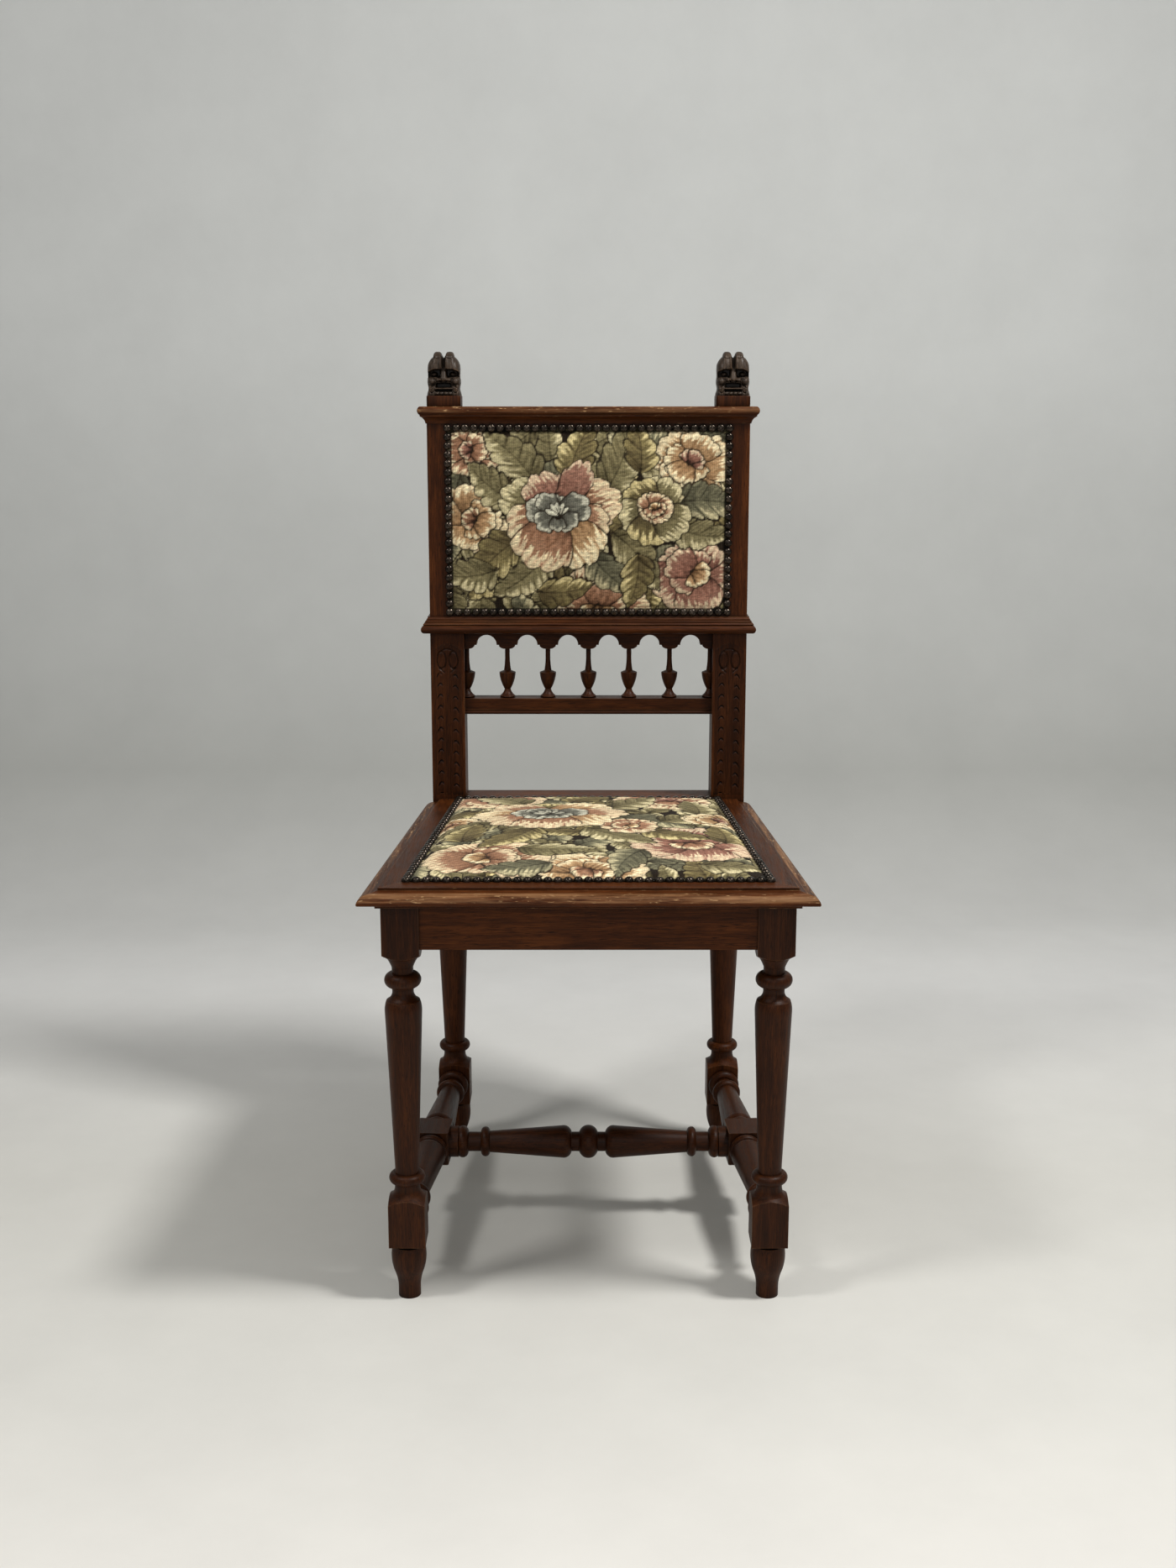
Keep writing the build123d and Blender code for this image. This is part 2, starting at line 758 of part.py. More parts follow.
# Rear posts, each one piece from foot to crest
post_top_front = back.from_local_coords((0, crest_low, 0))
post_top_back = back.from_local_coords((0, crest_low, -post_top_depth))
rear_leg_low = turned_leg(post_x, rear_y)
rear_leg_high = squared_block(
    post_x, rear_y, post_width, post_depth, high_block_low, frame_top, True, False
)
post_peg = post_tenon_bar(0)
post_mortise = post_tenon_bar(fit)
back_mortises = [back_tenons(*rail_size, fit) for rail_size in back_rails.values()]
back_rail_mortises = cross_tenons(post_inner, back_rail_y, fit)
back_recess = back_rebate()
with BuildPart() as rear_post_right:
    add(rear_leg_low)
    add(rear_leg_high)
    with BuildSketch(Plane(origin=(post_inner, 0, 0), x_dir=(0, 1, 0), z_dir=(1, 0, 0))):
        with BuildLine():
            Polyline(
                (post_front_y, frame_top),
                (post_back_y, frame_top),
                (post_top_back.Y, post_top_back.Z),
                (post_top_front.Y, post_top_front.Z),
                close=True,
            )
        make_face()
    extrude(amount=post_width)
    add(post_peg)
    with BuildSketch(back):
        panel_half = post_width / 2 - panel_border
        with BuildLine():
            Polyline(
                (post_x - panel_half, panel_high - panel_arch),
                (post_x - panel_half, panel_low),
                (post_x + panel_half, panel_low),
                (post_x + panel_half, panel_high - panel_arch),
            )
            ThreePointArc(
                (post_x + panel_half, panel_high - panel_arch),
                (post_x, panel_high),
                (post_x - panel_half, panel_high - panel_arch),
            )
        make_face()
    extrude(amount=-panel_depth, mode=Mode.SUBTRACT)
    for mortise in back_mortises:
        add(mortise, mode=Mode.SUBTRACT)
    add(back_rail_mortises, mode=Mode.SUBTRACT)
    add(side_mortises, mode=Mode.SUBTRACT)
    add(stretcher_mortises, mode=Mode.SUBTRACT)
    add(back_recess, mode=Mode.SUBTRACT)
with BuildPart() as rear_post_left:
    mirror(rear_post_right.part, about=Plane.YZ)

# Lower back rail, with a bead along its lower front edge
spindle_places = [(i - (arch_count - 2) / 2) * arch_pitch for i in range(arch_count - 1)]


def spindle_plane(x):
    """Plane through a spindle axis, for profiles of radius and height."""
    return Plane(origin=back.from_local_coords((x, 0, -arcade_axis)), x_dir=(1, 0, 0), z_dir=back.z_dir)


def spindle_pegs(grow):
    """Round pegs on the spindle axes, from the rail below into the arcade above."""
    with BuildPart() as pegs:
        for x in spindle_places:
            plane = spindle_plane(x)
            low = low_rail_high - spindle_tenon_length - grow
            with BuildSketch(Plane(origin=plane.from_local_coords((0, low, 0)), z_dir=back.y_dir)):
                Circle(spindle_tenon_radius + grow)
            extrude(amount=spindle_high + 2 * spindle_tenon_length + 2 * grow - low_rail_high)
    return pegs.part


impost_low = arch_spring - impost_step - impost_round
spindle_high = impost_low
peg_holes = spindle_pegs(fit)
low_rail_tenons = back_tenons(*back_rails["lower_back_rail"], 0)

with BuildPart() as lower_back_rail:
    with BuildSketch(back_side):
        with BuildLine():
            face = -low_rail_face
            bead_high = low_rail_low + low_rail_bead
            Polyline(
                (face - 1, low_rail_low),
                (face - low_rail_thick, low_rail_low),
                (face - low_rail_thick, low_rail_high),
                (face, low_rail_high),
                (face, bead_high + 1),
                (face - 1, bead_high + 0.6),
                (face - 1, bead_high),
            )
            ThreePointArc(
                (face - 1, bead_high),
                (face + 0.8, low_rail_low + low_rail_bead / 2),
                (face - 1, low_rail_low),
            )
        make_face()
    extrude(amount=post_inner, both=True)
    add(low_rail_tenons)
    add(peg_holes, mode=Mode.SUBTRACT)

# Arcade board: round arches between stepped imposts
with BuildPart() as arcade_rail:
    with BuildSketch(back.offset(-arcade_face)):
        with Locations((0, (arch_spring + middle_low) / 2)):
            Rectangle(2 * post_inner, middle_low - arch_spring)
        pier_places = [-arch_pitch * arch_count / 2] + spindle_places + [arch_pitch * arch_count / 2]
        for x in pier_places:
            with BuildLine():
                Polyline(
                    (x - impost_half, arch_spring - impost_step),
                    (x - impost_half, arch_spring),
                    (x + impost_half, arch_spring),
                    (x + impost_half, arch_spring - impost_step),
                )
                ThreePointArc(
                    (x + impost_half, arch_spring - impost_step),
                    (x + 0.75 * impost_half, impost_low + 0.35 * impost_round),
                    (x + impost_foot_half, impost_low),
                )
                Line((x + impost_foot_half, impost_low), (x - impost_foot_half, impost_low))
                ThreePointArc(
                    (x - impost_foot_half, impost_low),
                    (x - 0.75 * impost_half, impost_low + 0.35 * impost_round),
                    (x - impost_half, arch_spring - impost_step),
                )
            make_face()
        with Locations(*[((i - (arch_count - 1) / 2) * arch_pitch, arch_spring) for i in range(arch_count)]):
            Circle(arch_radius, mode=Mode.SUBTRACT)
        with Locations((0, arch_spring)):
            Rectangle(2 * post_inner, 2 * middle_height, mode=Mode.INTERSECT)
    extrude(amount=-arcade_thick)
    with BuildSketch(back.offset(-arcade_face)):
        for sign in (-1, 1):
            with Locations((sign * (post_inner + back_tenon_length / 2), (arch_spring + middle_low) / 2)):
                Rectangle(back_tenon_length, middle_low - arch_spring - 2 * back_tenon_shoulder)
    extrude(amount=-(arcade_thick + back_tenon_thick) / 2)
    with BuildSketch(back.offset(-arcade_face)):
        for sign in (-1, 1):
            with Locations((sign * (post_inner + back_tenon_length / 2), (arch_spring + middle_low) / 2)):
                Rectangle(back_tenon_length, middle_low - arch_spring)
    extrude(amount=-(arcade_thick - back_tenon_thick) / 2, mode=Mode.SUBTRACT)
    add(peg_holes, mode=Mode.SUBTRACT)


def spindle_body(x):
    """Turned urn spindle between the lower rail and an impost, without its pegs."""
    base = low_rail_high
    edge_radius = spindle_foot_radius - 0.8
    waist = base + spindle_waist_height
    urn_high = base + urn_height
    collar_high = base + spindle_collar_height
    sweep_high = collar_high + spindle_sweep
    with BuildPart() as body:
        with BuildSketch(spindle_plane(x)):
            with BuildLine():
                Polyline(
                    (spindle_neck_radius, spindle_high),
                    (0, spindle_high),
                    (0, base),
                    (edge_radius, base),
                )
                ThreePointArc(
                    (edge_radius, base),
                    (spindle_foot_radius, base + spindle_foot_edge / 2),
                    (edge_radius, base + spindle_foot_edge),
                )
                ThreePointArc(
                    (edge_radius, base + spindle_foot_edge),
                    (0.6 * spindle_waist_radius + 0.4 * edge_radius, base + 0.55 * spindle_waist_height),
                    (spindle_waist_radius, waist),
                )
                ThreePointArc(
                    (spindle_waist_radius, waist),
                    (0.3 * spindle_waist_radius + 0.7 * urn_radius, (waist + urn_high) / 2),
                    (urn_radius, urn_high),
                )
                Line((urn_radius, urn_high), (urn_radius, urn_high + urn_rim))
                Line((urn_radius, urn_high + urn_rim), (spindle_collar_radius, collar_high))
                ThreePointArc(
                    (spindle_collar_radius, collar_high),
                    (
                        0.65 * spindle_neck_radius + 0.35 * spindle_collar_radius,
                        collar_high + 0.4375 * spindle_sweep,
                    ),
                    (spindle_neck_radius, sweep_high),
                )
                Line((spindle_neck_radius, sweep_high), (spindle_neck_radius, spindle_high))
            make_face()
        revolve(axis=Axis(spindle_plane(x).origin, back.y_dir))
    return body.part


spindles = {}
for number, x in enumerate(spindle_places, start=1):
    plane = spindle_plane(x)
    peg_low = low_rail_high - spindle_tenon_length
    turning = spindle_body(x)
    with BuildPart() as spindle:
        add(turning)
        with BuildSketch(Plane(origin=plane.from_local_coords((0, peg_low, 0)), z_dir=back.y_dir)):
            Circle(spindle_tenon_radius)
        extrude(amount=spindle_high + 2 * spindle_tenon_length - low_rail_high)
    spindles[f"spindle_{number}"] = spindle

# Half spindles glued to the inner faces of the posts
end_turning = spindle_body(arch_pitch * arch_count / 2)
with BuildPart() as half_spindle_right:
    add(end_turning)
    split(bisect_by=Plane(origin=(post_inner, 0, 0), z_dir=(1, 0, 0)), keep=Keep.BOTTOM)
with BuildPart() as half_spindle_left:
    mirror(half_spindle_right.part, about=Plane.YZ)

# Rails behind the upholstered back
middle_rail_body = back_bar(*back_rails["middle_rail"], post_inner)
middle_rail_tenons = back_tenons(*back_rails["middle_rail"], 0)
top_rail_body = back_bar(*back_rails["back_top_rail"], post_inner)
top_rail_tenons = back_tenons(*back_rails["back_top_rail"], 0)
with BuildPart() as middle_rail:
    add(middle_rail_body)
    add(middle_rail_tenons)
    add(back_recess, mode=Mode.SUBTRACT)
with BuildPart() as back_top_rail:
    add(top_rail_body)
    add(top_rail_tenons)
    add(back_recess, mode=Mode.SUBTRACT)


def middle_section(plane, inner, face):
    """Section of the middle moulding: a reeded slope over a round nosing."""
    foot = Vector(face + 0.76 * moulding_reach, middle_low + 0.54 * middle_height)
    head = Vector(face + 0.24 * moulding_reach, middle_high - moulding_edge)
    slope = head - foot
    inward = Vector(-slope.Y, slope.X).normalized()
    along = slope.normalized() * reed_width / 2
    reeds = []
    for i in range(reed_count):
        spot = foot + slope * (i + 1) / (reed_count + 1)
        reeds += [spot - along, spot + inward * reed_depth, spot + along]
    with BuildSketch(plane) as section:
        with BuildLine():
            Polyline(
                (face + 0.66 * moulding_reach, middle_low + 0.48 * middle_height),
                foot,
                *reeds,
                head,
                (head.X, middle_high),
                (inner, middle_high),
                (inner, middle_low),
                (face + 0.7 * moulding_reach, middle_low),
            )
            ThreePointArc(
                (face + 0.7 * moulding_reach, middle_low),
                (face + moulding_reach, middle_low + 0.26 * middle_height),
                (face + 0.66 * moulding_reach, middle_low + 0.48 * middle_height),
            )
        make_face()
    return section.sketch


def crest_section(plane, inner, face):
    """Section of the crest: round nosing over a cavetto."""
    with BuildSketch(plane) as section:
        with BuildLine():
            Line(
                (face + 0.72 * moulding_reach, crest_low + 0.5 * crest_height),
                (face + 0.72 * moulding_reach, crest_low + 0.42 * crest_height),
            )
            ThreePointArc(
                (face + 0.72 * moulding_reach, crest_low + 0.42 * crest_height),
                (face + 0.32 * moulding_reach, crest_low + 0.26 * crest_height),
                (face + 0.12 * moulding_reach, crest_low),
            )
            Polyline(
                (face + 0.12 * moulding_reach, crest_low),
                (inner, crest_low),
                (inner, crest_top),
                (face + 0.72 * moulding_reach, crest_top),
            )
            ThreePointArc(
                (face + 0.72 * moulding_reach, crest_top),
                (face + moulding_reach, crest_low + 0.75 * crest_height),
                (face + 0.72 * moulding_reach, crest_low + 0.5 * crest_height),
            )
        make_face()
    return section.sketch


# Middle moulding, planted across the posts with a return on each side
middle_post_depth = post_depth + (post_top_depth - post_depth) * middle_high / crest_low
middle_front = middle_section(back_side, -middle_post_depth, 0)
middle_end = middle_section(Plane.XY, 0, post_outer)
with BuildPart() as middle_moulding:
    extrude(middle_front, amount=post_outer + moulding_reach, both=True)
    with BuildSketch(back):
        add(middle_end)
        mirror(about=Plane.YZ)
    extrude(amount=middle_post_depth + moulding_reach, both=True, mode=Mode.INTERSECT)
    with BuildSketch(back):
        with Locations((0, (middle_low + middle_high) / 2)):
            Rectangle(2 * post_outer, 2 * middle_height)
    extrude(amount=-2 * middle_post_depth, mode=Mode.SUBTRACT)

# Crest, moulded on the front and both ends, with mortises for the post tenons
crest_front = crest_section(back_side, -post_top_depth, 0)
crest_end = crest_section(Plane.XY, 0, post_outer)
with BuildPart() as crest_cornice:
    extrude(crest_front, amount=post_outer + moulding_reach, both=True)
    with BuildSketch(back):
        add(crest_end)
        mirror(about=Plane.YZ)
    extrude(amount=post_top_depth + moulding_reach, both=True, mode=Mode.INTERSECT)
    add(post_mortise, mode=Mode.SUBTRACT)
    mirror(post_mortise, about=Plane.YZ, mode=Mode.SUBTRACT)

# Carved finials: a plinth and a grotesque animal head
finial_base = Plane(
    origin=back.from_local_coords((post_x, crest_top, -post_top_depth / 2)),
    x_dir=(1, 0, 0),
    z_dir=back.y_dir,
)
head_front = -head_depth / 2
head_top = plinth_height + head_height
brow_height = plinth_height + 0.6 * head_height
cheek_height = plinth_height + 0.3 * head_height
with BuildPart() as carved_finial_right:
    with BuildSketch(finial_base):
        Rectangle(post_width, post_top_depth)
    extrude(amount=plinth_height)
    with BuildSketch(finial_base.offset(plinth_height)):
        RectangleRounded(head_low_width, head_depth, head_depth / 5)
    with BuildSketch(finial_base.offset(plinth_height + head_wide_height)):
        RectangleRounded(head_wide_width, head_depth, head_depth / 4)
    with BuildSketch(finial_base.offset(head_top - tuft_radius)):
        RectangleRounded(head_top_width, 0.7 * head_depth, head_depth / 4)
    loft()
    with Locations(
        finial_base.location * Location((-head_wide_width / 4, 0.75 * head_front, brow_height)),
        finial_base.location * Location((head_wide_width / 4, 0.75 * head_front, brow_height)),
    ):
        Sphere(brow_radius)
    with Locations(
        finial_base.location * Location((-tuft_radius, 0, head_top - tuft_radius)),
        finial_base.location * Location((tuft_radius, 0, head_top - tuft_radius)),
    ):
        Sphere(tuft_radius)
    with Locations(finial_base.location * Location((0, head_front, plinth_height + 0.34 * head_height))):
        Sphere(nose_radius)
    with Locations(
        finial_base.location * Location((-0.38 * head_wide_width, 0.7 * head_front, cheek_height)),
        finial_base.location * Location((0.38 * head_wide_width, 0.7 * head_front, cheek_height)),
    ):
        Sphere(cheek_radius)
    with Locations(finial_base.location * Location((0, head_front, plinth_height + 0.12 * head_height))):
        Cylinder(lip_radius, lip_length, rotation=(0, 90, 0))
    add(post_mortise, mode=Mode.SUBTRACT)
with BuildPart() as carved_finial_left:
    mirror(carved_finial_right.part, about=Plane.YZ)

# Side stretchers: turned, with a squared block in the middle for the cross stretcher
side_stretcher_tenons = stretcher_tenons(stretcher_tenon_radius, 0)
cross_tenon = cross_stretcher_tenon(0)
cross_mortise = cross_stretcher_tenon(fit)
with BuildPart() as side_stretcher_right:
    with BuildSketch(stretcher_along):
        block_half = stretcher_block_length / 2
        ring_end = block_half + block_ring_length
        taper_end = stretcher_clear - side_disc_length - end_neck_length - stretcher_ring_length
        neck_start = taper_end + stretcher_ring_length
        disc_start = neck_start + end_neck_length
        with BuildLine():
            Polyline((0, bulb_radius - 2), (0, 0), (stretcher_clear + leg_half / 4, 0))
            Line((stretcher_clear + leg_half / 4, 0), (stretcher_clear + leg_half / 4, end_disc_radius))
            Line((stretcher_clear + leg_half / 4, end_disc_radius), (stretcher_clear, end_disc_radius))
            ThreePointArc(
                (stretcher_clear, end_disc_radius),
                (disc_start + side_disc_length / 2, end_disc_radius + 1),
                (disc_start, stretcher_neck_radius),
            )
            Line((disc_start, stretcher_neck_radius), (neck_start, stretcher_neck_radius))
            ThreePointArc(
                (neck_start, stretcher_neck_radius),
                (taper_end + stretcher_ring_length / 2, stretcher_ring_radius),
                (taper_end, stretcher_taper_radius),
            )
            Line((taper_end, stretcher_taper_radius), (ring_end + bulb_round_length, bulb_radius))
            ThreePointArc(
                (ring_end + bulb_round_length, bulb_radius),
                (ring_end + bulb_round_length / 3, bulb_radius - 1),
                (ring_end, bulb_radius - 4),
            )
            ThreePointArc(
                (ring_end, bulb_radius - 4),
                (block_half + block_ring_length / 2, bead_radius),
                (block_half, bulb_radius - 2),
            )
            Line((block_half, bulb_radius - 2), (0, bulb_radius - 2))
        make_face()
        mirror(about=Plane.YZ)
    revolve(axis=Axis(stretcher_mid, stretcher_dir))
    split(bisect_by=Plane(origin=(0, side_run_low, 0), z_dir=(0, 1, 0)), keep=Keep.TOP)
    split(bisect_by=Plane(origin=(0, rear_y - leg_half, 0), z_dir=(0, 1, 0)), keep=Keep.BOTTOM)
    with BuildSketch(stretcher_along.offset(-stretcher_block / 2)):
        Rectangle(stretcher_block_length, stretcher_block)
    extrude(amount=stretcher_block)
    chamfer(edges().filter_by(Axis.Z), length=block_chamfer)
    add(side_stretcher_tenons)
    add(cross_mortise, mode=Mode.SUBTRACT)
with BuildPart() as side_stretcher_left:
    mirror(side_stretcher_right.part, about=Plane.YZ)

# Cross stretcher, turned about its middle bead
block_face = Plane(origin=stretcher_mid + stretcher_in * (stretcher_block / 2), z_dir=stretcher_in)
block_face_left = Plane(
    origin=(-block_face.origin.X, block_face.origin.Y, block_face.origin.Z),
    z_dir=(-stretcher_in.X, stretcher_in.Y, 0),
)
cross_half = block_face.origin.X
with BuildPart() as cross_stretcher:
    with BuildSketch(Plane(origin=(0, stretcher_mid.Y, stretcher_height), x_dir=(1, 0, 0), z_dir=(0, 0, 1))):
        bead_half = bead_length / 2
        neck_end = bead_half + stretcher_neck_length
        disc_low = cross_half - end_disc_length
        neck_low = disc_low - end_neck_length
        ring_at = neck_low - stretcher_ring_length
        disc_groove = disc_low + 0.55 * end_disc_length
        disc_high = cross_half + leg_half / 4
        with BuildLine():
            Polyline((0, bead_radius), (0, 0), (disc_high, 0), (disc_high, end_disc_radius))
            Line((disc_high, end_disc_radius), (disc_groove, end_disc_radius))
            Line((disc_groove, end_disc_radius), (disc_groove, end_disc_radius - 1.5))
            ThreePointArc(
                (disc_groove, end_disc_radius - 1.5),
                (disc_low + 0.3 * end_disc_length, end_disc_radius + 0.6),
                (disc_low, stretcher_neck_radius),
            )
            Line((disc_low, stretcher_neck_radius), (neck_low, stretcher_neck_radius))
            ThreePointArc(
                (neck_low, stretcher_neck_radius),
                (ring_at + stretcher_ring_length / 2, stretcher_ring_radius),
                (ring_at, stretcher_taper_radius),
            )
            Line((ring_at, stretcher_taper_radius), (neck_end + bulb_round_length, bulb_radius))
            ThreePointArc(
                (neck_end + bulb_round_length, bulb_radius),
                (neck_end + bulb_round_length / 3, bulb_radius - 1.5),
                (neck_end, stretcher_neck_radius),
            )
            Line((neck_end, stretcher_neck_radius), (bead_half, stretcher_neck_radius))
            ThreePointArc(
                (bead_half, stretcher_neck_radius),
                (0.62 * bead_half, bead_radius - 2.2),
                (0, bead_radius),
            )
        make_face()
        mirror(about=Plane.YZ)
    revolve(axis=Axis((0, stretcher_mid.Y, stretcher_height), (1, 0, 0)))
    split(bisect_by=block_face, keep=Keep.TOP)
    split(bisect_by=block_face_left, keep=Keep.TOP)
    add(cross_tenon)

# Crowned upholstery, lofted through arched sections from one edge to the other
crown_steps = [0, 0.1, 0.3, 0.5, 0.7, 0.9, 1]


def crowned(plane, low, high, low_half, high_half, edge, crown):
    """Pad on a plane: arched across, and crowned from its low edge to its high edge."""
    with BuildPart() as pad:
        for step in crown_steps:
            along = low + (high - low) * step
            half = low_half + (high_half - low_half) * step
            rise = edge + crown * max(1 - (2 * step - 1) ** 2, 0.05)
            with BuildSketch(
                Plane(origin=plane.from_local_coords((0, along, 0)), x_dir=plane.x_dir, z_dir=-plane.y_dir)
            ):
                with BuildLine():
                    Polyline((-half, edge), (-half, 0), (half, 0), (half, edge))
                    ThreePointArc((half, edge), (0, rise), (-half, edge))
                make_face()
        loft()
    return pad.part


def cloth_cover(plane, low, high, edge_at, crown):
    """Thin cover: a flat margin under the nails, and a crowned field over the stuffing."""
    field_low = low + cover_flat
    field_high = high - cover_flat
    pad_low = low + stuffing_set - soft_gap
    pad_high = high - stuffing_set + soft_gap
    field = crowned(
        plane,
        field_low,
        field_high,
        edge_at(field_low, cover_flat),
        edge_at(field_high, cover_flat),
        cover_thick,
        crown + crown_lift,
    )
    room = crowned(
        plane,
        pad_low,
        pad_high,
        edge_at(pad_low, stuffing_set - soft_gap),
        edge_at(pad_high, stuffing_set - soft_gap),
        stuffing_edge + soft_gap,
        crown,
    )
    with BuildPart() as cover:
        with BuildSketch(plane):
            with BuildLine():
                Polyline(
                    (-edge_at(low - cover_margin, -cover_margin), low - cover_margin),
                    (edge_at(low - cover_margin, -cover_margin), low - cover_margin),
                    (edge_at(high + cover_margin, -cover_margin), high + cover_margin),
                    (-edge_at(high + cover_margin, -cover_margin), high + cover_margin),
                    close=True,
                )
            make_face()
        extrude(amount=cover_thick)
        add(field)
        add(room, mode=Mode.SUBTRACT)
    return cover.part


def stuffing_pad(plane, low, high, edge_at, crown):
    """Stuffing under a cover, inside its nail line."""
    pad_low = low + stuffing_set
    pad_high = high - stuffing_set
    return crowned(
        plane,
        pad_low,
        pad_high,
        edge_at(pad_low, stuffing_set),
        edge_at(pad_high, stuffing_set),
        stuffing_edge,
        crown - soft_gap,
    )


def seat_nail_line(y, inset):
    """Half-width of the seat at a distance inside its nail line."""
    return seat_edge(y, seat_nail_inset + inset)


def back_nail_line(height, inset):
    """Half-width of the back at a distance inside its nail line, the same at every height."""
    return back_nail_half - inset


seat_pad = stuffing_pad(seat_plane, nail_front_y, nail_rear_y, seat_nail_line, seat_crown)
seat_cloth = cloth_cover(seat_plane, nail_front_y, nail_rear_y, seat_nail_line, seat_crown)
back_pad = stuffing_pad(back, back_nail_low, back_nail_high, back_nail_line, back_crown)
back_cloth = cloth_cover(back, back_nail_low, back_nail_high, back_nail_line, back_crown)
with BuildPart() as seat_stuffing:
    add(seat_pad)
with BuildPart() as seat_cover:
    add(seat_cloth)
with BuildPart() as back_stuffing:
    add(back_pad)
with BuildPart() as back_cover:
    add(back_cloth)

# Webbing and hessian in the rebates of the seat
seat_open_low = nosing_y + frame_board - rebate_width + fit
seat_open_high = post_front_y - back_board_reach + rebate_width - fit
seat_open_inset = frame_board - rebate_width + fit
with BuildPart() as seat_webbing:
    with BuildSketch(seat_plane.offset(-rebate_depth)):
        web_step = 2 * seat_edge(seat_open_high, seat_open_inset) / seat_web_count
        for i in range(seat_web_count):
            with Locations(((i - (seat_web_count - 1) / 2) * web_step, (seat_open_low + seat_open_high) / 2)):
                Rectangle(web_width, seat_open_high - seat_open_low)
    extrude(amount=web_thick)
    for i in range(seat_web_count):
        y_mid = seat_open_low + (seat_open_high - seat_open_low) * (i + 0.5) / seat_web_count
        y_low = y_mid - web_width / 2
        y_high = y_mid + web_width / 2
        with BuildSketch(seat_plane.offset(web_thick - rebate_depth)):
            with BuildLine():
                Polyline(
                    (-seat_edge(y_low, seat_open_inset), y_low),
                    (seat_edge(y_low, seat_open_inset), y_low),
                    (seat_edge(y_high, seat_open_inset), y_high),
                    (-seat_edge(y_high, seat_open_inset), y_high),
                    close=True,
                )
            make_face()
        extrude(amount=web_thick)
with BuildPart() as seat_hessian:
    with BuildSketch(seat_plane.offset(-hessian_thick)):
        with BuildLine():
            Polyline(
                (-seat_edge(seat_open_low, seat_open_inset), seat_open_low),
                (seat_edge(seat_open_low, seat_open_inset), seat_open_low),
                (seat_edge(seat_open_high, seat_open_inset), seat_open_high),
                (-seat_edge(seat_open_high, seat_open_inset), seat_open_high),
                close=True,
            )
        make_face()
    extrude(amount=hessian_thick)

# Webbing, hessian and lining of the back
back_open_half = post_inner + back_rebate_width - fit
back_open_low = middle_rail_high - back_rebate_width + fit
back_open_high = top_rail_low + back_rebate_width - fit
back_open_mid = (back_open_low + back_open_high) / 2
with BuildPart() as back_webbing:
    with BuildSketch(back.offset(-rebate_depth)):
        for i in range(back_web_count):
            across = ((2 * i + 1) / back_web_count - 1) * back_open_half
            with Locations((across, back_open_mid)):
                Rectangle(web_width, back_open_high - back_open_low)
    extrude(amount=web_thick)
    with BuildSketch(back.offset(web_thick - rebate_depth)):
        for i in range(back_web_count):
            height = back_open_low + (back_open_high - back_open_low) * (i + 0.5) / back_web_count
            with Locations((0, height)):
                Rectangle(2 * back_open_half, web_width)
    extrude(amount=web_thick)
with BuildPart() as back_hessian:
    with BuildSketch(back.offset(-hessian_thick)):
        with Locations((0, back_open_mid)):
            Rectangle(2 * back_open_half, back_open_high - back_open_low)
    extrude(amount=hessian_thick)
with BuildPart() as back_lining:
    with BuildSketch(back.offset(-back_rail_thick)):
        with Locations((0, (middle_low + crest_low) / 2)):
            Rectangle(2 * (post_inner - fit), crest_low - middle_low - 2 * back_tenon_shoulder)
    extrude(amount=-lining_thick)


def domed_nail(plane):
    """Domed head of one upholstery nail, seated on the cloth at the middle of a plane."""
    dome_radius = (nail_radius**2 + nail_height**2) / (2 * nail_height)
    dome_middle = cover_thick + nail_height - dome_radius
    half_angle = atan2(nail_radius, dome_radius - nail_height) / 2
    with BuildPart() as nail:
        with BuildSketch(Plane(origin=plane.origin, x_dir=plane.x_dir, z_dir=-plane.y_dir)):
            with BuildLine():
                Polyline((0, cover_thick + nail_height), (0, cover_thick), (nail_radius, cover_thick))
                ThreePointArc(
                    (nail_radius, cover_thick),
                    (dome_radius * sin(half_angle), dome_middle + dome_radius * cos(half_angle)),
                    (0, cover_thick + nail_height),
                )
            make_face()
        revolve(axis=Axis(plane.origin, plane.z_dir))
    return nail.part


seat_nail = domed_nail(seat_plane)
back_nail = domed_nail(back)
seat_nail_moves = [seat_plane.from_local_coords((p.X, p.Y, 0)) - seat_plane.origin for p in seat_nail_places]
back_nail_moves = [back.from_local_coords((p.X, p.Y, 0)) - back.origin for p in back_nail_places]
with BuildPart() as seat_nails:
    with Locations(*seat_nail_moves):
        add(seat_nail)
with BuildPart() as back_nails:
    with Locations(*back_nail_moves):
        add(back_nail)

keep(front_leg_left, "front_leg_left")
keep(front_leg_right, "front_leg_right")
keep(rear_post_left, "rear_post_left")
keep(rear_post_right, "rear_post_right")
keep(seat_rail_front, "seat_rail_front")
keep(seat_rail_back, "seat_rail_back")
keep(seat_rail_left, "seat_rail_left")
keep(seat_rail_right, "seat_rail_right")
keep(corner_block_front_left, "corner_block_front_left")
keep(corner_block_front_right, "corner_block_front_right")
keep(corner_block_rear_left, "corner_block_rear_left")
keep(corner_block_rear_right, "corner_block_rear_right")
keep(corner_block_screws, "corner_block_screws")
keep(seat_frame_front, "seat_frame_front")
keep(seat_frame_left, "seat_frame_left")
keep(seat_frame_right, "seat_frame_right")
keep(seat_frame_back, "seat_frame_back")
keep(side_stretcher_left, "side_stretcher_left")
keep(side_stretcher_right, "side_stretcher_right")
keep(cross_stretcher, "cross_stretcher")
keep(lower_back_rail, "lower_back_rail")
keep(arcade_rail, "arcade_rail")
for name, spindle in spindles.items():
    keep(spindle, name)
keep(half_spindle_left, "half_spindle_left")
keep(half_spindle_right, "half_spindle_right")
keep(middle_rail, "middle_rail")
keep(middle_moulding, "middle_moulding")
keep(back_top_rail, "back_top_rail")
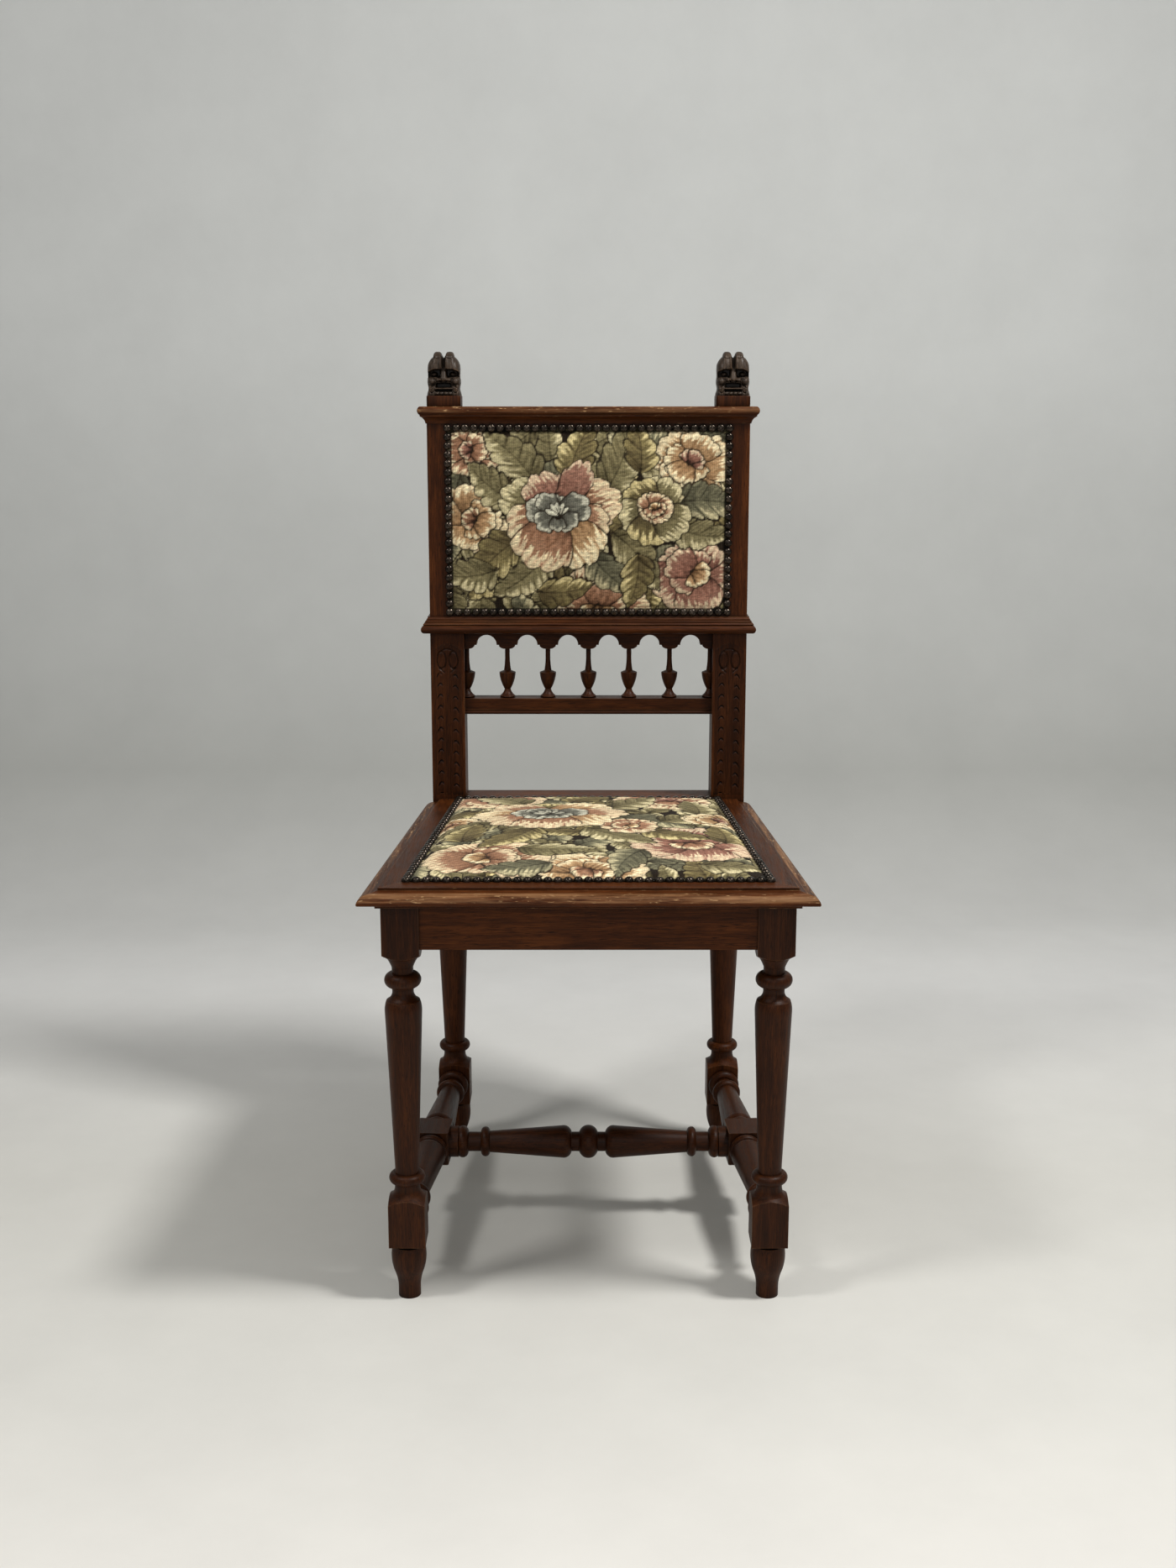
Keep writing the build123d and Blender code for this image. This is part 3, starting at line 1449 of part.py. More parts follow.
keep(crest_cornice, "crest_cornice")
keep(carved_finial_left, "carved_finial_left")
keep(carved_finial_right, "carved_finial_right")
keep(seat_webbing, "seat_webbing")
keep(seat_hessian, "seat_hessian")
keep(seat_stuffing, "seat_stuffing")
keep(seat_cover, "seat_cover")
keep(back_webbing, "back_webbing")
keep(back_hessian, "back_hessian")
keep(back_stuffing, "back_stuffing")
keep(back_cover, "back_cover")
keep(back_lining, "back_lining")
keep(seat_nails, "seat_nails")
keep(back_nails, "back_nails")
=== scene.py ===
"""Carved dining chair with a nailed tapestry seat and back, dressed over its construction model.

Lengths in the shape functions are millimetres in the frame of the construction model: Z up, the
front of the chair towards -Y. Finished pieces are built in metres.
"""
import functools
import math

import bmesh
import bpy
import numpy as np
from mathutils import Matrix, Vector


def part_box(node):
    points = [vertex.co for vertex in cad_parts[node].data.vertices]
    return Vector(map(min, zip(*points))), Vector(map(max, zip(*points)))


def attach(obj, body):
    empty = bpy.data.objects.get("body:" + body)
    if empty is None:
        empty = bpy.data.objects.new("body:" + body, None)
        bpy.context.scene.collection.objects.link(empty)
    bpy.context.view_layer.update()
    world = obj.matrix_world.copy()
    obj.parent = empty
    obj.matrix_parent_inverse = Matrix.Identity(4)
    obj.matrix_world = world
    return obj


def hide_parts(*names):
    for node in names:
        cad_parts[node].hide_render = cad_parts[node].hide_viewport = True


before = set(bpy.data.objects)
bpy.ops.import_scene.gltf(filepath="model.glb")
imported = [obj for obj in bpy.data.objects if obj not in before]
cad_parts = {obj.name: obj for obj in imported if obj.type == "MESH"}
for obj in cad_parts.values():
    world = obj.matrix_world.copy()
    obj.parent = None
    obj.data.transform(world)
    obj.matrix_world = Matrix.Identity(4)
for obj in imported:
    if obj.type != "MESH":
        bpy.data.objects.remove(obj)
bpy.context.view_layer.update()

bl_info = {
    "name": "Carved Tapestry Chair", "version": (1, 0, 0), "blender": (4, 5, 0),
    "location": "View3D > Sidebar > Carved Chair",
    "description": "Tapestry, nails, carving, wood finish and studio for a carved dining chair",
    "category": "Object",
}

MM = 0.001

# Places on the construction model, in millimetres
SEAT_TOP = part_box("seat_frame_back")[1].z / MM
NOSING_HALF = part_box("seat_frame_front")[1].x / MM
NOSING_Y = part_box("seat_frame_front")[0].y / MM
POST_FRONT_Y = 185.65
POST_X = 172.5
LEAN = math.atan2(10.0, 457.5)
SEAT_SKEW = 0.08369
SEAT_NAIL_INSET = 44.0
SEAT_NAIL_LOW = NOSING_Y + SEAT_NAIL_INSET
SEAT_NAIL_HIGH = POST_FRONT_Y - 6.0
BACK_NAIL_HALF = 168.5
BACK_NAIL_LOW = 232.2
BACK_NAIL_HIGH = 452.3
CLOTH_EDGE = 0.8
COVER_THICK = 1.6
PANEL_LOW = 7.0
PANEL_HIGH = 192.0
PANEL_HALF = 15.5
PANEL_ARCH = 7.0
PANEL_LAP = 1.8
PANEL_PROUD = 0.04
CREST_TOP = 477.5
PLINTH_HEIGHT = 12.5
PLINTH_HALF_X = 20.5
PLINTH_HALF_Y = 19.0
SEAT_RUBBED_Z = SEAT_TOP - 7.5
CREST_RUBBED_Z = SEAT_TOP + 474.0

# The tapestry lies flat this far inside its nails, and its pads stand this far off the frame
NAILED_FLAT = 6.0
PAD_FLOOR = 0.05

# Webs each way under the seat, and the share of its width that the lengthwise ones spread over
WEB_WIDTH = 48.0
WEB_THICK = 0.7
WEB_COUNT = 4
WEB_SPREAD = 0.93

# Thin skins, and the lining's depth behind the post fronts and its belly
CARVING_THICK = 0.3
SHEET_THICK = 0.6
LINING_DEPTH = 22.4
LINING_BELLY = 0.25

# The photograph's camera: its place in metres, and half a pixel of shift in its 1867 pixel height
EYE_PLACE = (0.0, -2.0596, 0.999)
EYE_SHIFT = -0.5 / 1867.0

# Yarn colours of the tapestry, each run from its darkest to its palest
SAGE = ("#2b2412", "#655c3f", "#8e845f", "#dccfa3")
OLIVE = ("#2a210f", "#5d5135", "#877a50", "#d8c791")
MOSS = ("#282315", "#565340", "#7f7a5e", "#cbbf96")
ROSE = ("#43281b", "#8d664c", "#b48a6d", "#ead9b0")
PEACH = ("#553b24", "#9d7a55", "#c6a57b", "#f0e1b8")
MADDER = ("#41271e", "#835a4a", "#a87d69", "#dfc9a6")
SLATE = ("#1f1c15", "#56544a", "#838273", "#cdc9b3")
GROUND = "#1e150a"


def srgb(code):
    """Linear red, green and blue of a hex colour."""
    parts = np.array([int(code[i : i + 2], 16) for i in (1, 3, 5)]) / 255.0
    return np.where(parts <= 0.04045, parts / 12.92, ((parts + 0.055) / 1.055) ** 2.4)


def tint(code):
    """Linear colour with full alpha, as shader sockets take it."""
    return (*srgb(code).tolist(), 1.0)


def unit(values):
    """The values kept between 0 and 1."""
    return np.clip(values, 0.0, 1.0)


def bell(offset, width):
    """A bell curve: 1 where the offset is 0, fading over the width."""
    return np.exp(-((offset / width) ** 2))


def length(name, description, metres):
    """A setting that is a length in metres."""
    return bpy.props.FloatProperty(name=name, description=description, default=metres, unit="LENGTH")


class ChairUpholsterySettings(bpy.types.PropertyGroup):
    """Sizes of the stuffed seat and back and their nails."""

    seat_crown: length("Seat crown", "Rise of the seat at its middle", 0.012)
    back_crown: length("Back crown", "Rise of the back panel at its middle", 0.008)
    relief: length("Relief", "Height of the raised yarn over the ground", 0.0011)
    mesh_step: length("Mesh step", "Spacing of the tapestry's points", 0.00125)
    nail_radius: length("Nail radius", "Radius of a domed nail head", 0.00495)
    nail_height: length("Nail height", "Height of a domed nail head", 0.0036)
    nail_pitch: length("Nail pitch", "Greatest spacing of the nails", 0.0106)


class ChairWoodSettings(bpy.types.PropertyGroup):
    """Finish of the stained wood and depth of its carving."""

    stain: bpy.props.FloatVectorProperty(
        name="Stain", description="Middle colour of the stained wood", default=srgb("#48230a"),
        subtype="COLOR",
    )
    wear: bpy.props.FloatProperty(
        name="Wear", description="How far the arrises are rubbed pale", default=0.55, subtype="FACTOR"
    )
    carving_depth: length("Carving depth", "Depth of the cuts in the post panels", 0.0019)


class ChairStageSettings(bpy.types.PropertyGroup):
    """Studio round the chair."""

    lens: bpy.props.FloatProperty(
        name="Lens", description="Focal length for a 36 mm long side", default=42.637, unit="CAMERA"
    )
    tilt: bpy.props.FloatProperty(
        name="Tilt", description="How far the camera looks down", default=math.radians(12.828),
        unit="ROTATION",
    )


def add_node(tree, kind, wires=None, stops=None, **settings):
    """Add a shader node, set its properties and ramp stops, and set or link its inputs.

    A node given as an input stands for its first output.
    """
    made = tree.nodes.new("ShaderNode" + kind)
    for key, value in settings.items():
        setattr(made, key, value)
    for key, value in (wires or {}).items():
        if isinstance(value, bpy.types.Node):
            value = value.outputs[0]
        if isinstance(value, bpy.types.NodeSocket):
            tree.links.new(value, made.inputs[key])
        else:
            made.inputs[key].default_value = value
    if stops:
        while len(made.color_ramp.elements) < len(stops):
            made.color_ramp.elements.new(1.0)
        for element, (place, colour) in zip(made.color_ramp.elements, stops):
            element.position = place
            element.color = colour
    return made


def new_material(name):
    """An empty material, the function that adds nodes to it, and its object coordinates."""
    material = bpy.data.materials.new(name)
    material.use_nodes = True
    material.node_tree.nodes.clear()
    node = functools.partial(add_node, material.node_tree)
    return material, node, node("TexCoord").outputs["Object"]


# Oak under a dark stain and old wax: streaked brown grain, dark open pores along it, dark dirt and
# painted shade in the corners and cuts, and arrises rubbed back to paler wood
def stained_oak(
    name, along, stain, wear, shade, dirt_and_shade=0.75, rubbed_z=None, gloss=0.11, nooks=(0.012, 0.2, 0.85)
):
    """Stained wood with its grain along one axis, an edge rubbed pale at rubbed_z, and painted shade:
    shade darkens the whole stain of a part that stands in shadow.

    The values of nooks are how far the dirt and painted shade look for a wall, and the openness at which
    they are thick and gone.
    """
    material, node, place = new_material(name)
    # shade darkens the stain of parts that stand in shadow: painted shade
    middle = np.array(stain) * shade
    tones = [np.minimum(middle * np.array(factor), 1.0) for factor in (0.52, 0.88, (1.5, 1.6, 1.7), 0.34)]
    dark, plain, pale, pore = ((*tone.tolist(), 1.0) for tone in tones)
    stretch = [1.0, 1.0, 1.0]
    stretch["XYZ".index(along)] = 0.055
    run = node("Mapping", {"Vector": place, "Scale": stretch})
    # Figure about 10 mm wide; fibres 1.6 mm and pores 0.7 mm wide, coarser than real so that they show
    figure = node(
        "TexNoise", {"Vector": run, "Scale": 95.0, "Detail": 5.0, "Roughness": 0.6, "Distortion": 0.7}
    )
    fibre = node("TexNoise", {"Vector": run, "Scale": 620.0, "Detail": 4.0, "Roughness": 0.65})
    pores = node("TexNoise", {"Vector": run, "Scale": 1500.0, "Detail": 2.0, "Roughness": 0.5})
    patch = node("TexNoise", {"Vector": place, "Scale": 22.0, "Detail": 3.0})
    blend = node("Math", {0: figure, 1: fibre}, operation="ADD")
    spread = node("Math", {0: blend, 1: 2.6, 2: patch}, operation="MULTIPLY_ADD")
    grain = node(
        "ValToRGB", {0: node("MapRange", {0: spread, 1: 2.3, 2: 3.9})},
        stops=[(0.14, dark), (0.5, plain), (0.88, pale)],
    )
    pore_mask = node("MapRange", {0: pores, 1: 0.56, 2: 0.68})
    pored = node("MixRGB", {0: pore_mask, 1: grain, 2: pore})
    # Bent normals near an arris show where hands and cloths have rubbed
    faces = node("NewGeometry")
    bent = node("Bevel", {"Radius": 0.0016}, samples=4)
    turn = node("VectorMath", {0: bent, 1: faces.outputs["Normal"]}, operation="DOT_PRODUCT")
    edge = node("MapRange", {0: turn.outputs["Value"], 1: 0.985, 2: 0.86})
    if rubbed_z:
        height = node("SeparateXYZ", {0: place})
        off = node("Math", {0: height.outputs["Z"], 1: rubbed_z * MM, 2: 0.0035}, operation="COMPARE")
        edge = node("Math", {0: edge, 1: off}, operation="MAXIMUM")
    rubbed = node("TexNoise", {"Vector": run, "Scale": 150.0, "Detail": 5.0, "Roughness": 0.7})
    chips = node("MapRange", {0: rubbed, 1: 0.42, 2: 0.66, 4: wear})
    nook = node("AmbientOcclusion", {"Distance": nooks[0]}, samples=4)
    open_part = node("MapRange", {0: nook.outputs["AO"], 1: 0.35, 2: 0.9})
    bare = node("Math", {0: edge, 1: chips}, operation="MULTIPLY")
    shown = node("Math", {0: bare, 1: open_part}, operation="MULTIPLY")
    worn = node("MixRGB", {0: shown, 1: pored, 2: tint("#8a6443")})
    if rubbed_z:
        # Small knocks along the rubbed edge show bare yellow wood
        stretch["XYZ".index(along)] = 0.22
        short = node("Mapping", {"Vector": place, "Scale": stretch})
        knocks = node("TexNoise", {"Vector": short, "Scale": 420.0, "Detail": 3.0, "Roughness": 0.6})
        spots = node("MapRange", {0: knocks, 1: 0.6, 2: 0.7, 4: 0.8})
        struck = node("Math", {0: spots, 1: edge}, operation="MULTIPLY")
        worn = node("MixRGB", {0: struck, 1: worn, 2: tint("#ad8a61")})
    # Dark in the nooks: real dirt, and painted shade where the nooks would be shadowed
    closed = node("MapRange", {0: nook.outputs["AO"], 1: nooks[1], 2: nooks[2], 3: 1.0 - dirt_and_shade})
    dirtied_and_shaded = node("MixRGB", {0: 1.0, 1: worn, 2: closed}, blend_type="MULTIPLY")
    rough = node("MapRange", {0: fibre, 1: 0.3, 2: 0.7, 3: 0.34, 4: 0.52})
    hollow = node("Math", {0: pore_mask, 1: 0.6, 2: fibre}, operation="MULTIPLY_ADD")
    bump = node("Bump", {"Strength": 0.16, "Distance": 0.0005, "Height": hollow}, invert=True)
    shader = node(
        "BsdfPrincipled",
        {"Base Color": dirtied_and_shaded, "Roughness": rough, "IOR": 1.5, "Specular IOR Level": gloss, "Normal": bump},
    )
    node("OutputMaterial", {"Surface": shader})
    return material


# Unfinished glue blocks: pale brown softwood, dry and matt
def plain_wood():
    """Bare wood of the hidden blocks."""
    material, node, place = new_material("Bare corner block wood")
    run = node("Mapping", {"Vector": place, "Scale": (0.08, 1.0, 1.0)})
    figure = node("TexNoise", {"Vector": run, "Scale": 240.0, "Detail": 4.0, "Distortion": 0.5})
    grain = node("ValToRGB", {0: figure}, stops=[(0.3, tint("#6b4a2c")), (0.7, tint("#a9825a"))])
    shader = node("BsdfPrincipled", {"Base Color": grain, "Roughness": 0.75, "IOR": 1.5})
    node("OutputMaterial", {"Surface": shader})
    return material


# Dull steel of old slotted screws, grey with a little rust
def screw_steel():
    """Steel of the block screws."""
    material, node, place = new_material("Dull screw steel")
    spots = node("TexNoise", {"Vector": place, "Scale": 900.0, "Detail": 3.0})
    colour = node("ValToRGB", {0: spots}, stops=[(0.4, tint("#8d8a86")), (0.7, tint("#5f4a3a"))])
    shader = node("BsdfPrincipled", {"Base Color": colour, "Metallic": 1.0, "Roughness": 0.45})
    node("OutputMaterial", {"Surface": shader})
    return material


# Brass nails gone dark brown: rubbed crowns catch small soft highlights, no two quite alike
def nail_brass():
    """Dark bronzed brass of the upholstery nails."""
    material, node, place = new_material("Dark bronzed nail brass")
    spots = node("TexNoise", {"Vector": place, "Scale": 700.0, "Detail": 4.0, "Roughness": 0.6})
    each = node("VertexColor", layer_name="patina")
    colour = node("ValToRGB", {0: spots}, stops=[(0.35, tint("#171310")), (0.75, tint("#5a4f45"))])
    varied = node("MixRGB", {0: 1.0, 1: colour, 2: each}, blend_type="MULTIPLY")
    bump = node("Bump", {"Strength": 0.25, "Distance": 0.0004, "Height": spots})
    shader = node(
        "BsdfPrincipled", {"Base Color": varied, "Metallic": 0.85, "Roughness": 0.26, "Normal": bump}
    )
    node("OutputMaterial", {"Surface": shader})
    return material


# Worn wool tapestry: soft matt yarn in fine ribs, each stitch a little lighter or darker
def tapestry_wool(name, rib_axis):
    """Woven wool that takes its colours from the yarn painted on the mesh."""
    material, node, place = new_material(name)
    yarn = node("VertexColor", layer_name="yarn")
    # Ribs 1.3 mm and warp 1.65 mm apart, coarser than the real yarn so that they show
    threads = {"Vector": place, "Detail": 2.0, "Detail Scale": 3.0}
    ribs = node("TexWave", {**threads, "Scale": 240.0, "Distortion": 1.2}, bands_direction=rib_axis)
    warp = node("TexWave", {**threads, "Scale": 190.0, "Distortion": 1.5}, bands_direction="X")
    fluff = node("TexNoise", {"Vector": place, "Scale": 620.0, "Detail": 4.0, "Roughness": 0.7})
    soil = node("TexNoise", {"Vector": place, "Scale": 26.0, "Detail": 3.0})
    weave = node("Math", {0: ribs.outputs[1], 1: warp.outputs[1]}, operation="MULTIPLY")
    thread = node("Math", {0: fluff, 1: 1.4, 2: weave}, operation="MULTIPLY_ADD")
    level = node("MapRange", {0: thread, 1: 0.45, 2: 1.5, 3: 0.62, 4: 1.22})
    grime = node("MapRange", {0: soil, 1: 0.3, 2: 0.7, 3: 0.86, 4: 1.08})
    both = node("Math", {0: level, 1: grime}, operation="MULTIPLY")
    colour = node("MixRGB", {0: 1.0, 1: yarn, 2: both}, blend_type="MULTIPLY")
    bump = node("Bump", {"Strength": 0.6, "Distance": 0.0007, "Height": thread})
    shader = node(
        "BsdfPrincipled",
        {
            "Base Color": colour, "Roughness": 0.93, "Specular IOR Level": 0.1, "Sheen Weight": 0.04,
            "Sheen Roughness": 0.6, "Normal": bump,
        },
    )
    node("OutputMaterial", {"Surface": shader})
    return material


# Coarse plain cloth: visible crossing threads, quite matt
def plain_cloth(name, dark, pale, pitch_mm, axes):
    """Plain weave in one colour, with its thread pitch in millimetres."""
    material, node, place = new_material(name)
    scale = 2.0 * math.pi / (20.0 * pitch_mm * MM)
    threads = {"Vector": place, "Scale": scale, "Distortion": 0.8, "Detail": 1.0}
    waves = [node("TexWave", threads, bands_direction=axis) for axis in axes]
    weave = node("Math", {0: waves[0].outputs[1], 1: waves[1].outputs[1]}, operation="MULTIPLY")
    blotch = node("TexNoise", {"Vector": place, "Scale": 24.0, "Detail": 4.0})
    worn = node("MapRange", {0: blotch, 1: 0.3, 2: 0.7, 3: 0.36, 4: 0.5})
    level = node("Math", {0: weave, 1: 0.6, 2: worn}, operation="MULTIPLY_ADD")
    colour = node("ValToRGB", {0: level}, stops=[(0.4, tint(dark)), (0.95, tint(pale))])
    bump = node("Bump", {"Strength": 0.5, "Distance": 0.0005, "Height": weave})
    shader = node("BsdfPrincipled", {"Base Color": colour, "Roughness": 0.95, "Normal": bump})
    node("OutputMaterial", {"Surface": shader})
    return material


def back_point(x, h, n):
    """Point on the leaning back: x across it, h up its slope from the seat, n out of its face."""
    x, h, n = np.broadcast_arrays(x, h, n)
    y = POST_FRONT_Y + h * math.sin(LEAN) - n * math.cos(LEAN)
    z = SEAT_TOP + h * math.cos(LEAN) + n * math.sin(LEAN)
    return np.stack([x, y, z], axis=-1)


def seat_point(x, y, n):
    """Point over the level seat: n is the height over the seat frame."""
    x, y, n = np.broadcast_arrays(x, y, n)
    return np.stack([x, y, SEAT_TOP + n], axis=-1)


def grid_quads(rows, cols, wrap=False, first=0):
    """Quads of a grid of rows by columns, joined round the columns where wrap is true."""
    index = np.arange(rows * cols).reshape(rows, cols) + first
    if wrap:
        index = np.concatenate([index, index[:, :1]], axis=1)
    corners = [index[:-1, :-1], index[:-1, 1:], index[1:, 1:], index[1:, :-1]]
    return np.stack(corners, axis=-1).reshape(-1, 4)


def build_piece(name, points, faces, material):
    """A smooth mesh object at the origin from points in millimetres and lists of faces."""
    mesh = bpy.data.meshes.new(name)
    mesh.from_pydata((np.asarray(points, float).reshape(-1, 3) * MM).tolist(), [], faces)
    mesh.polygons.foreach_set("use_smooth", np.ones(len(mesh.polygons), bool))
    mesh.materials.append(material)
    mesh.update()
    piece = bpy.data.objects.new(name, mesh)
    bpy.context.scene.collection.objects.link(piece)
    return piece


def store_colour(piece, layer, colours):
    """Keep one linear colour for each point of a piece."""
    attribute = piece.data.color_attributes.new(layer, "FLOAT_COLOR", "POINT")
    full = np.concatenate([colours, np.ones((len(colours), 1))], axis=1)
    attribute.data.foreach_set("color", full.ravel())


def closed_pad(top, floor):
    """Points and faces of a padded form: a grid top, a short wall round it and a flat underside.

    top is rows by columns of points and floor is the same grid of points on the frame below; only
    its outer ring is used.
    """
    rows, cols = top.shape[:2]
    index = np.arange(rows * cols).reshape(rows, cols)
    ring = np.concatenate([index[0, :-1], index[:-1, -1], index[-1, :0:-1], index[:0:-1, 0]])
    low = np.arange(len(ring)) + rows * cols
    wall = np.stack([np.roll(ring, -1), ring, low, np.roll(low, -1)], axis=-1)
    points = np.concatenate([top.reshape(-1, 3), floor.reshape(-1, 3)[ring]])
    faces = grid_quads(rows, cols).tolist() + wall.tolist() + [low[::-1].tolist()]
    return points, faces


def thread_noise(along, across, seed):
    """Streaks of lighter and darker yarn laid along a motif, about -1 to 1."""
    rng = np.random.default_rng(seed)
    total = 0.0
    for pull, bend, start in zip(
        rng.uniform(0.25, 1.3, 4), rng.uniform(0.05, 0.3, 4), rng.uniform(0, 6.28, 4)
    ):
        total = total + np.sin(pull * across + 1.6 * np.sin(bend * along + start) + start)
    return total / 2.6


def hue_at(hues, tone):
    """Yarn colour along a run of hues, from its darkest at 0 to its palest at 1."""
    table = np.array([srgb(code) for code in hues])
    stops = np.linspace(0.0, 1.0, len(hues))
    return np.stack([np.interp(tone, stops, table[:, k]) for k in range(3)], axis=-1)


def stitch(cloth, inside, colour, rise, outline):
    """Lay one motif over the cloth; inside is the distance in millimetres within its edge."""
    rim = unit(inside + outline + 0.5)
    body = unit(inside + 0.5)
    cloth["rgb"] += (cloth["line"] - cloth["rgb"]) * (0.95 * rim)[..., None]
    cloth["rgb"] += (colour - cloth["rgb"]) * body[..., None]
    cloth["rise"] += (0.1 * cloth["rise"] - cloth["rise"]) * rim
    cloth["rise"] += (rise - cloth["rise"]) * body


def local_axes(cloth, x, y, turn, squash):
    """Distances along and across a direction from a point on the cloth."""
    angle = math.radians(turn)
    right = cloth["x"] - x
    up = (cloth["y"] - y) / squash
    return right * math.cos(angle) + up * math.sin(angle), up * math.cos(angle) - right * math.sin(angle)


def scallop(phase):
    """Rounded lobes with sharp notches: 1 at the middle of each lobe and 0 in each notch."""
    return np.abs(np.cos(math.pi * phase)) ** 0.6


def leaf(cloth, x, y, turn, length, width, hues, lobes, curl, light):
    """A leaf from its stalk end: half width is a sine swell with rounded lobes, bent by curl.

    The yarn runs out from the midrib, dull in the middle and pale towards the lobes' edges, with
    one half in more light than the other and dark cuts between the lobes.
    """
    along, across = local_axes(cloth, x, y, turn, 1.0)
    across = across - curl * along * np.abs(along) / length
    far = np.abs(across)
    place = unit(along / length)
    vein = along - 0.75 * far
    lobe = scallop(lobes * vein / length + 0.17 * np.sign(across))
    half = width * np.sin(math.pi * place**0.75) ** 0.75 * (0.7 + 0.3 * lobe)
    inside = np.minimum(half - far, np.minimum(along + 1.0, length - along))
    noise = thread_noise(far, vein, int(abs(x * 7 + y * 13 + turn)) + lobes)
    lit = 0.5 + 0.5 * np.tanh(0.6 * across * light)
    edge = unit(far / np.maximum(half, 1.0))
    pale = unit((edge + 0.2 * noise + 0.3 * place - 0.72 + 0.22 * lit) / 0.3) * lobe**0.5
    tone = 0.43 + 0.1 * noise + 0.14 * lit + pale * (0.12 + 0.24 * lit)
    tone -= 0.45 * bell(lobe, 0.3) * unit(1.6 * edge)
    tone -= 0.3 * bell(across, 1.0) * (place < 0.85)
    tone -= 0.3 * bell(along, 0.22 * length)
    rise = 0.3 + 0.4 * np.sqrt(unit(inside / (0.6 * width))) + 0.2 * lobe
    stitch(cloth, inside + 0.6 * noise, hue_at(hues, tone), rise, 2.3)


def petal(cloth, x, y, turn, length, width, hues, squash, frill, base, band):
    """A petal from the heart outwards: it widens as a sine, and a pale band ends in round scallops."""
    along, across = local_axes(cloth, x, y, turn, squash)
    spread = across / width
    place = unit(along / length)
    noise = thread_noise(along, across, int(abs(x * 5 + y * 11 + turn * 3)))
    lobe = scallop(0.5 * frill * spread + 0.3 * math.sin(turn) + 0.06 * noise)
    end = length * (1.0 - 0.26 * spread**2 - 0.1 * (1.0 - lobe))
    half = width * (0.3 + 0.7 * np.sin(0.5 * math.pi * unit(place * 1.35)))
    inside = np.minimum(half - np.abs(across), np.minimum(end - along, along + 2.0))
    reach = unit(along / np.maximum(end, 1.0))
    crease = bell(lobe, 0.3) * unit(2 * reach - 0.7)
    shade = unit(1.0 - inside / (0.2 * width))
    tone = 0.06 + 0.58 * reach**0.8 + 0.12 * noise - 0.26 * crease - 0.18 * shade
    pale = band * length * (0.9 + 0.35 * noise - 0.5 * crease + 0.15 * np.sin(1.7 * across))
    rim = unit((pale - end + along) / 2.2 + 0.5)
    tone = tone * (1.0 - rim) + (0.91 + 0.14 * noise - 0.25 * crease) * rim
    rise = base + 0.3 * reach + 0.2 * np.sqrt(unit(inside / (0.5 * width))) - 0.1 * crease
    stitch(cloth, inside + 0.5 * noise, hue_at(hues, tone), rise, 1.8)


def bloom(cloth, x, y, radius, turn, hues, heart, petals, squash):
    """An open flower seen from one side: broad uneven petals behind, others folded over its heart."""
    rng = np.random.default_rng(int(abs(x * 3 + y * 7)) + petals)
    for k in rng.permutation(petals):
        angle = turn + 360.0 * (k + rng.uniform(-0.22, 0.22)) / petals
        reach = radius * rng.uniform(0.78, 1.12)
        wide = reach * rng.uniform(0.55, 0.75)
        frill = int(rng.integers(3, 5))
        petal(cloth, x, y, angle, reach, wide, hues, squash, frill, 0.4, rng.uniform(0.2, 0.36))
    lean = turn + rng.uniform(-40, 40)
    for side in (-62, 62, 0):
        angle = lean + side + rng.uniform(-12, 12)
        reach = radius * rng.uniform(0.5, 0.68)
        petal(cloth, x, y, angle, reach, 0.62 * reach, hues, squash, 3, 0.6, rng.uniform(0.16, 0.3))
    for side in (-50, 50, 0):
        petal(cloth, x, y, lean + 180 + side, radius * 0.34, radius * 0.2, heart, squash, 2, 0.75, 0.3)


def blank_cloth(x, y, seed, spacing):
    """Dark ground filled with close overlapping leaves, so that little of the ground shows."""
    cloth = {"x": x, "y": y, "line": srgb(GROUND), "rise": np.zeros(x.shape)}
    cloth["rgb"] = np.broadcast_to(srgb(GROUND), x.shape + (3,)).copy()
    rng = np.random.default_rng(seed)
    across = np.arange(x.min(), x.max() + 20, spacing)
    up = np.arange(y.min(), y.max() + 20, 0.8 * spacing)
    for px, py in rng.permutation(np.stack(np.meshgrid(across, up), axis=-1).reshape(-1, 2)):
        hues = (SAGE, OLIVE, MOSS, SAGE)[int(rng.integers(4))]
        turn = rng.uniform(0, 360)
        length = rng.uniform(50, 74)
        width = rng.uniform(15, 22)
        px = px + rng.uniform(-9, 9) - 0.5 * length * math.cos(math.radians(turn))
        py = py + rng.uniform(-9, 9) - 0.5 * length * math.sin(math.radians(turn))
        bend = rng.uniform(-0.35, 0.35)
        lobes = int(rng.integers(2, 5))
        leaf(cloth, px, py, turn, length, width, hues, lobes, bend, rng.choice([-1, 1]))
    return cloth


def speckled(cloth, seed):
    """The finished cloth with uneven stitches: short runs along the weft, lighter or darker."""
    rng = np.random.default_rng(seed)
    noise = rng.normal(0.0, 1.0, cloth["x"].shape)
    runs = (noise + np.roll(noise, 1, axis=1) + np.roll(noise, 2, axis=1)) / 1.73
    cloth["rgb"] = cloth["rgb"] * np.clip(1.0 + 0.2 * runs, 0.4, 1.6)[..., None]
    cloth["rise"] = cloth["rise"] + 0.1 * runs
    return cloth


def scatter(cloth, blooms, leaves=()):
    """Lay flowers and then leaves, which are lit on opposite halves left and right of the middle."""
    for row in blooms:
        bloom(cloth, *row)
    for row in leaves:
        leaf(cloth, *row, light=1.0 if row[0] < 0 else -1.0)


def wheel(cloth, x, y, squash, base, petals):
    """Broad petals round a point, each with its turn, reach, width, hues and share of pale band."""
    for turn, reach, wide, hues, band in petals:
        petal(cloth, x, y, turn, reach, wide, hues, squash, 3, base, band)


